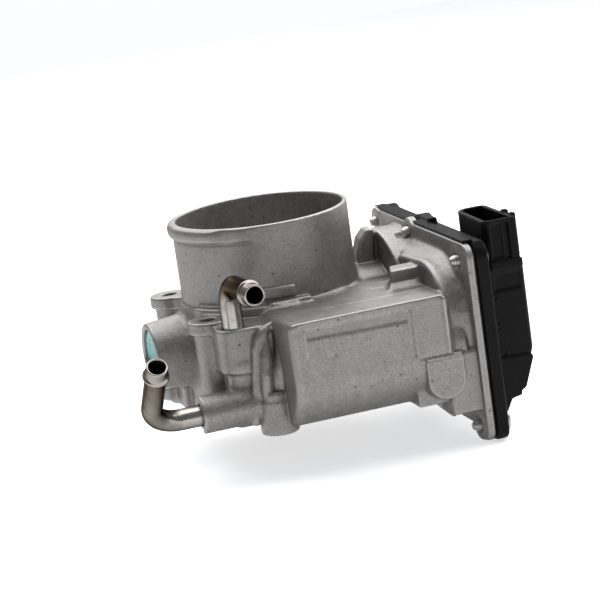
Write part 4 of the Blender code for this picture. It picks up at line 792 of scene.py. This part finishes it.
def screw_mesh():
    """One cover screw along X from its head's seat: domed pan head with a cross recess, thread, domed point."""
    field = Field((-15.2, -5.0, -5.0), (2.6, 5.0, 5.0), 0.12)
    field.add(cylinder("x", SCREW_HEAD_R, (0.0, SCREW_HEAD_H), edge=0.9), 0.1)
    pitch, depth, point_from, point_to = 0.8, 0.1, -11.2, -14.1

    def thread(p):
        turn = np.arctan2(p[2], p[1]) / TAU
        wave = np.abs(((p[0] / pitch - turn) % 1.0) - 0.5) * 4 - 1
        taper = np.clip((point_from - p[0]) / (point_from - point_to), 0.0, 1.0)
        radius = (SCREW_R - depth + depth * wave) * np.sqrt(1.0 - 0.86 * taper ** 2)
        middle, half = (point_to + 0.2) / 2, (0.2 - point_to) / 2
        return soft_corner(np.hypot(p[1], p[2]) - radius, np.abs(p[0] - middle) - half, 0.5) * 0.7

    field.add(Shape([point_to, -2.7, -2.7], [0.2, 2.7, 2.7], thread), 0.3)
    for turned in (0, 1):
        long_side, short_side = (2.2, 0.5) if turned else (0.5, 2.2)
        field.cut(block((0.9, 3.0), (-long_side, long_side), (-short_side, short_side), 0.15), 0.2)
    return skin("cover_screw_shape", field)


def build_screws():
    pattern = screw_mesh()
    seat = EAR_X + 0.1
    screws = []
    for i, (y, z) in enumerate(COVER_SCREWS):
        mesh = pattern.data.copy()
        turn = Matrix.Rotation(0.7 + 1.3 * i, 4, "X")
        origin = Vector(FROM_CROSSING)
        place = Matrix.Translation(Vector((seat, y, z)) * MM)
        mesh.transform(Matrix.Translation(origin) @ place @ turn @ Matrix.Translation(-origin))
        screw = bpy.data.objects.new(f"screw_{i + 1}", mesh)
        bpy.context.scene.collection.objects.link(screw)
        screws.append(screw)
    bpy.data.objects.remove(pattern, do_unlink=True)
    return screws


# ---------------------------------------------------------------- materials

class Nodes:
    """A material's node tree, with short calls for the nodes that every finish here uses."""

    def __init__(self, name):
        self.material = bpy.data.materials.new(name)
        self.material.use_nodes = True
        self.tree = self.material.node_tree
        self.shader = self.tree.nodes["Principled BSDF"]
        self.place = self.tree.nodes.new("ShaderNodeTexCoord").outputs["Object"]

    def feed(self, value, socket):
        if isinstance(value, bpy.types.NodeSocket):
            self.tree.links.new(value, socket)
        else:
            socket.default_value = value

    def noise(self, grain_mm, detail=4.0, roughness=0.55, stretch=None):
        """Noise whose features are about grain_mm across."""
        node = self.tree.nodes.new("ShaderNodeTexNoise")
        node.inputs["Scale"].default_value = 1.0 / (grain_mm * MM)
        node.inputs["Detail"].default_value = detail
        node.inputs["Roughness"].default_value = roughness
        place = self.place
        if stretch:
            mapping = self.tree.nodes.new("ShaderNodeMapping")
            mapping.inputs["Scale"].default_value = stretch
            self.feed(place, mapping.inputs["Vector"])
            place = mapping.outputs["Vector"]
        self.feed(place, node.inputs["Vector"])
        return node.outputs["Fac"]

    def cells(self, size_mm, feature="F1"):
        node = self.tree.nodes.new("ShaderNodeTexVoronoi")
        node.feature = feature
        node.inputs["Scale"].default_value = 1.0 / (size_mm * MM)
        self.feed(self.place, node.inputs["Vector"])
        return node

    def ramp(self, value, low, high, out_low=0.0, out_high=1.0):
        """Maps low..high to out_low..out_high, clamped."""
        node = self.tree.nodes.new("ShaderNodeMapRange")
        self.feed(value, node.inputs["Value"])
        for socket, number in zip(("From Min", "From Max", "To Min", "To Max"), (low, high, out_low, out_high)):
            self.feed(number, node.inputs[socket])
        return node.outputs["Result"]

    def mix(self, factor, first, second, blend="MIX"):
        node = self.tree.nodes.new("ShaderNodeMix")
        node.data_type = "RGBA"
        node.blend_type = blend
        self.feed(factor, node.inputs[0])
        for value, socket in ((first, node.inputs[6]), (second, node.inputs[7])):
            self.feed((*value, 1.0) if isinstance(value, tuple) else value, socket)
        return node.outputs[2]

    def math(self, operation, first, second=0.0):
        node = self.tree.nodes.new("ShaderNodeMath")
        node.operation = operation
        self.feed(first, node.inputs[0])
        self.feed(second, node.inputs[1])
        return node.outputs[0]

    def edges(self, low=0.505, high=0.56):
        """1 on sharp outer edges, from the mesh's own curvature."""
        point = self.tree.nodes.new("ShaderNodeNewGeometry").outputs["Pointiness"]
        return self.ramp(point, low, high)

    def hollows(self, low=0.495, high=0.44):
        point = self.tree.nodes.new("ShaderNodeNewGeometry").outputs["Pointiness"]
        return self.ramp(point, low, high)

    def upward(self):
        """How far the surface faces up: 1 on a level top."""
        split = self.tree.nodes.new("ShaderNodeSeparateXYZ")
        self.feed(self.tree.nodes.new("ShaderNodeNewGeometry").outputs["Normal"], split.inputs[0])
        return split.outputs["Z"]

    def bump(self, height, strength, distance_mm, onto=None):
        node = self.tree.nodes.new("ShaderNodeBump")
        node.inputs["Strength"].default_value = strength
        node.inputs["Distance"].default_value = distance_mm * MM
        self.feed(height, node.inputs["Height"])
        if onto:
            self.feed(onto, node.inputs["Normal"])
        return node.outputs["Normal"]

    def finish(self, colour, metallic, roughness, normal=None, **more):
        self.feed(colour if isinstance(colour, bpy.types.NodeSocket) else (*colour, 1.0),
                  self.shader.inputs["Base Color"])
        self.feed(metallic, self.shader.inputs["Metallic"])
        self.feed(roughness, self.shader.inputs["Roughness"])
        if normal:
            self.feed(normal, self.shader.inputs["Normal"])
        for name, value in more.items():
            self.feed(value, self.shader.inputs[name.replace("_", " ")])
        return self.material


def cast_aluminium():
    """Die-cast skin: sparkling fine grain, soft grey mottling, painted shade in hollows, rubbed smoother edges with a
    painted highlight.
    """
    n = Nodes("cast_aluminium_skin")
    grain = n.noise(0.62, 3.0, 0.7)
    flakes = n.cells(0.5).outputs["Distance"]
    mottle = n.noise(3.6, 6.0, 0.7)
    clouds = n.noise(17.0, 3.0, 0.5)
    stains = n.ramp(n.noise(2.6, 6.0, 0.75), 0.62, 0.70)
    spots = n.ramp(n.cells(4.6).outputs["Distance"], 0.17, 0.08)
    tone = n.mix(n.ramp(mottle, 0.34, 0.68), (0.225, 0.217, 0.209), (0.37, 0.358, 0.346))
    tone = n.mix(n.ramp(clouds, 0.35, 0.68, 0.0, 0.4), tone, (0.38, 0.372, 0.367))
    dark, light = n.mix(0.28, tone, (0.14, 0.135, 0.13)), n.mix(0.28, tone, (0.64, 0.625, 0.61))
    tone = n.mix(n.ramp(grain, 0.34, 0.66), dark, light)
    tone = n.mix(n.math("MULTIPLY", stains, 0.45), tone, (0.13, 0.125, 0.12))
    spots = n.math("MULTIPLY", spots, n.ramp(n.noise(9.0, 2.0), 0.50, 0.56))
    tone = n.mix(n.math("MULTIPLY", spots, 0.7), tone, (0.07, 0.066, 0.062))
    # painted shade: the colour darkens in concave hollows, where shade falls
    tone = n.mix(n.math("MULTIPLY", n.hollows(), 0.45), tone, (0.12, 0.117, 0.113))
    # painted highlight: the colour lightens on sharp outer edges; the lower roughness on edges below is the rubbed
    # wear
    tone = n.mix(n.math("MULTIPLY", n.edges(), 0.45), tone, (0.62, 0.61, 0.60))
    rough = n.ramp(mottle, 0.3, 0.7, 0.36, 0.52)
    rough = n.math("SUBTRACT", rough, n.math("MULTIPLY", n.edges(), 0.12))
    coarse = n.bump(mottle, 0.5, 0.5)
    pits = n.bump(n.ramp(flakes, 0.0, 0.6), 0.15, 0.07, coarse)
    fine = n.bump(grain, 0.5, 0.085, pits)
    return n.finish(tone, 0.74, rough, fine, Specular_Tint=(0.55, 0.54, 0.53, 1.0))


def black_plastic():
    """Glass-filled moulding: near black, faint flow streaks, fine texture, a painted highlight on edges and less
    shine on faces that look up, as painted shade.
    """
    n = Nodes("black_plastic_skin")
    grain = n.noise(0.25, 2.0, 0.5)
    flow = n.noise(9.0, 4.0, 0.6, (1.0, 0.35, 1.0))
    tone = n.mix(n.ramp(flow, 0.35, 0.7), (0.0045, 0.0045, 0.005), (0.008, 0.008, 0.0085))
    # painted highlight: the colour lightens on sharp outer edges
    tone = n.mix(n.math("MULTIPLY", n.edges(0.51, 0.58), 0.5), tone, (0.03, 0.03, 0.031))
    rough = n.ramp(flow, 0.3, 0.7, 0.26, 0.38)
    normal = n.bump(grain, 0.25, 0.05, n.bump(flow, 0.2, 0.25))
    # painted shade: faces that look up get almost no specular reflection, so tops stay dark under the light above
    top_dimmed_specular = n.ramp(n.upward(), 0.4, 0.85, 0.11, 0.012)
    return n.finish(tone, 0.0, rough, normal, Specular_IOR_Level=top_dimmed_specular)


def steel(name, colour, rough, streak_mm=0.0, dull=(0.2, 0.19, 0.18), turned_away=0.0):
    """Bare or plated steel with fine wear in its grain, a painted highlight on edges, darker film in patches and, if
    asked, drawing streaks. Turned_away
     is how far the sides that face away from the eye are painted darker, towards a deep shade of the dull colour, as
     painted shade."""
    n = Nodes(name)
    film = n.noise(4.0, 4.0, 0.6)
    grain = n.noise(0.35, 2.0, 0.5)
    tone = n.mix(n.ramp(film, 0.5, 0.75, 0.0, 0.45), colour, dull)
    # painted highlight: the colour lightens on sharp outer edges
    tone = n.mix(n.math("MULTIPLY", n.edges(0.51, 0.58), 0.4), tone, (0.86, 0.85, 0.84))
    normal = n.bump(grain, 0.15, 0.03)
    # painted shade: sides turned away from the eye are darkened, standing in for a dark reflection
    if turned_away:
        facing = n.tree.nodes.new("ShaderNodeLayerWeight")
        facing.inputs["Blend"].default_value = 0.5
        side = n.ramp(facing.outputs["Facing"], 0.25, 0.8, 0.0, turned_away)
        tone = n.mix(side, tone, tuple(v * 0.35 for v in dull))
        n.shader.inputs["Specular Tint"].default_value = (0.3, 0.27, 0.25, 1.0)
    if streak_mm:
        normal = n.bump(n.noise(streak_mm, 3.0, 0.6), 0.12, 0.1, normal)
    return n.finish(tone, 1.0, n.ramp(film, 0.3, 0.7, rough - 0.06, rough + 0.1), normal)


def sealed_plug():
    n = Nodes("plug_sealer")
    film = n.noise(3.0, 4.0, 0.6)
    tone = n.mix(n.ramp(film, 0.3, 0.7), (0.16, 0.36, 0.36), (0.30, 0.50, 0.48))
    return n.finish(tone, 0.55, n.ramp(film, 0.3, 0.7, 0.22, 0.38), n.bump(film, 0.3, 0.2))


def rubber():
    n = Nodes("seal_rubber_skin")
    grain = n.noise(0.4, 3.0, 0.6)
    tone = n.mix(n.ramp(grain, 0.35, 0.65), (0.014, 0.014, 0.014), (0.03, 0.03, 0.03))
    return n.finish(tone, 0.0, n.ramp(grain, 0.3, 0.7, 0.6, 0.8), n.bump(grain, 0.3, 0.08))


def moulded(name, dark, light, rough):
    """Pale or coloured moulding with cloudy colour, a painted highlight on edges and a fine texture."""
    n = Nodes(name)
    cloud, grain = n.noise(7.0, 4.0, 0.6), n.noise(0.3, 2.0, 0.5)
    tone = n.mix(n.ramp(cloud, 0.3, 0.7), dark, light)
    # painted highlight: the colour lightens on sharp outer edges
    tone = n.mix(n.math("MULTIPLY", n.edges(), 0.25), tone, tuple(min(1.0, v * 1.3) for v in light))
    return n.finish(tone, 0.0, n.ramp(cloud, 0.3, 0.7, rough - 0.05, rough + 0.08), n.bump(grain, 0.2, 0.05))


def sintered():
    n = Nodes("sintered_skin")
    grain = n.noise(0.3, 4.0, 0.6)
    tone = n.mix(n.ramp(grain, 0.35, 0.65), (0.05, 0.05, 0.055), (0.12, 0.12, 0.125))
    return n.finish(tone, 0.25, n.ramp(grain, 0.3, 0.7, 0.5, 0.7), n.bump(grain, 0.4, 0.06))


def all_materials():
    return {
        "cast_aluminium": cast_aluminium(),
        # the last number paints the pipe's sides darker where they turn away from the eye, as painted shade
        "pipe_steel": steel("pipe_steel_skin", (0.39, 0.36, 0.33), 0.22, 2.0, (0.19, 0.155, 0.13), 0.85),
        "bright_steel": steel("bright_steel_skin", (0.62, 0.61, 0.60), 0.24),
        "zinc_steel": steel("zinc_skin", (0.64, 0.63, 0.60), 0.33, dull=(0.42, 0.42, 0.41)),
        "black_plastic": black_plastic(),
        "seal_rubber": rubber(),
        "plug_green": sealed_plug(),
        "gear_plastic": moulded("gear_skin", (0.62, 0.58, 0.47), (0.74, 0.71, 0.60), 0.42),
        "brass": steel("brass_skin", (0.56, 0.43, 0.22), 0.3, dull=(0.32, 0.22, 0.11)),
        "magnet": sintered(),
        "copper": steel("copper_skin", (0.74, 0.38, 0.24), 0.3, dull=(0.34, 0.16, 0.10)),
        "board_green": moulded("board_skin", (0.02, 0.14, 0.07), (0.04, 0.20, 0.10), 0.3),
    }


def dress(piece, material):
    piece.data.materials.clear()
    piece.data.materials.append(material)


# ---------------------------------------------------------------- studio

def area_light(name, place, target, size, power, colour=(1.0, 1.0, 1.0)):
    data = bpy.data.lights.new(name, "AREA")
    data.shape = "RECTANGLE"
    data.size, data.size_y = size
    data.energy = power
    data.color = colour
    light = bpy.data.objects.new(name, data)
    aim = (Vector(target) - Vector(place)).to_track_quat("-Z", "Y")
    light.matrix_world = Matrix.Translation(place) @ aim.to_matrix().to_4x4()
    bpy.context.scene.collection.objects.link(light)


def sky_strength(nodes, direction):
    """How bright the room is in a direction: white behind the part, dim to the left and behind the camera."""
    split = nodes.tree.nodes.new("ShaderNodeSeparateXYZ")
    nodes.feed(direction, split.inputs[0])
    x, y, z = split.outputs
    behind = nodes.ramp(y, -0.5, 0.75, 0.20, 0.78)
    side = nodes.ramp(x, -0.9, 0.4, 0.48, 1.0)
    high = nodes.ramp(z, 0.55, 1.0, 1.0, 0.62)
    return nodes.math("MULTIPLY", nodes.math("MULTIPLY", behind, side), high)


def studio(scene):
    """A glowing white table and backdrop, with a large soft box above, behind and to the right."""
    middle = Vector(FROM_CROSSING)
    half = 1.5
    floor = bpy.data.meshes.new("floor")
    floor.from_pydata([(-half, -half, 0), (half, -half, 0), (half, half, 0), (-half, half, 0)], [], [(0, 1, 2, 3)])
    ground = bpy.data.objects.new("floor", floor)
    ground.location.z = -0.0002
    scene.collection.objects.link(ground)
    n = Nodes("floor_paper")
    tone = n.mix(n.ramp(n.noise(30.0, 3.0, 0.5), 0.3, 0.7), (0.90, 0.90, 0.905), (0.93, 0.93, 0.93))
    paper = n.finish(tone, 0.0, 0.8)
    n.feed((0.97, 0.98, 1.0, 1.0), n.shader.inputs["Emission Color"])
    seen = n.tree.nodes.new("ShaderNodeLightPath").outputs["Is Camera Ray"]
    n.feed(n.ramp(seen, 0.0, 1.0, 0.24, 0.62), n.shader.inputs["Emission Strength"])
    dress(ground, paper)
    world = bpy.data.worlds.new("studio")
    world.use_nodes = True
    scene.world = world
    n = Nodes.__new__(Nodes)
    n.tree = world.node_tree
    back = n.tree.nodes["Background"]
    strength = sky_strength(n, n.tree.nodes.new("ShaderNodeTexCoord").outputs["Generated"])
    seen = n.tree.nodes.new("ShaderNodeLightPath").outputs["Is Camera Ray"]
    n.feed(n.math("MAXIMUM", strength, seen), back.inputs["Strength"])
    back.inputs["Color"].default_value = (0.97, 0.985, 1.0, 1.0)
    area_light("top_box", middle + Vector((0.25, 0.30, 0.70)), middle, (1.8, 1.4), 18.0)
    scene.view_settings.view_transform = "Standard"


# ---------------------------------------------------------------- camera

def look(scene):
    """The camera: 12 degrees above the bore's cross-section, 16 degrees round from the motor side."""
    turn, tilt, roll = math.radians(15.75), math.radians(12.4), math.radians(8.07)
    focal_in_widths = 2600.0 / 600.0
    ahead = Vector((math.sin(turn) * math.cos(tilt), math.cos(turn) * math.cos(tilt), -math.sin(tilt)))
    level = Vector((math.cos(turn), -math.sin(turn), 0.0))
    up = level.cross(ahead)
    right = level * math.cos(roll) - up * math.sin(roll)
    above = level * math.sin(roll) + up * math.cos(roll)
    target = Vector(FROM_CROSSING) + Vector((12.77, 0.0, 11.22)) * MM
    data = bpy.data.cameras.new("camera")
    data.sensor_width = 36.0
    data.lens = data.sensor_width * focal_in_widths
    camera = bpy.data.objects.new("camera", data)
    place = Matrix((right, above, -ahead)).transposed().to_4x4()
    place.translation = target - ahead * 1.127
    camera.matrix_world = place
    scene.collection.objects.link(camera)
    scene.camera = camera


def place_piece(piece, node, material):
    """Puts a finished piece in a CAD node's place, on that node's body and with its slot's material."""
    slots = {part["node"]: part["material_slot"] for part in frame["record"]["subparts"]}
    dress(piece, material[slots[node]])
    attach(piece, "housing")
    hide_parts(node)


def main():
    material = all_materials()
    for part in frame["record"]["subparts"]:
        dress(frame["nodes"][part["node"]], material[part["material_slot"]])
    place_piece(build_casting(), "throttle_body", material)
    place_piece(build_cover(), "gear_cover", material)
    place_piece(build_seal(), "cover_seal", material)
    upper, lower = build_pipes()
    place_piece(upper, "coolant_pipe_upper", material)
    place_piece(lower, "coolant_pipe_lower", material)
    place_piece(build_plug(), "shaft_plug", material)
    for i, screw in enumerate(build_screws()):
        place_piece(screw, f"cover_screw_{i + 1}", material)
    studio(bpy.context.scene)
    look(bpy.context.scene)


main()
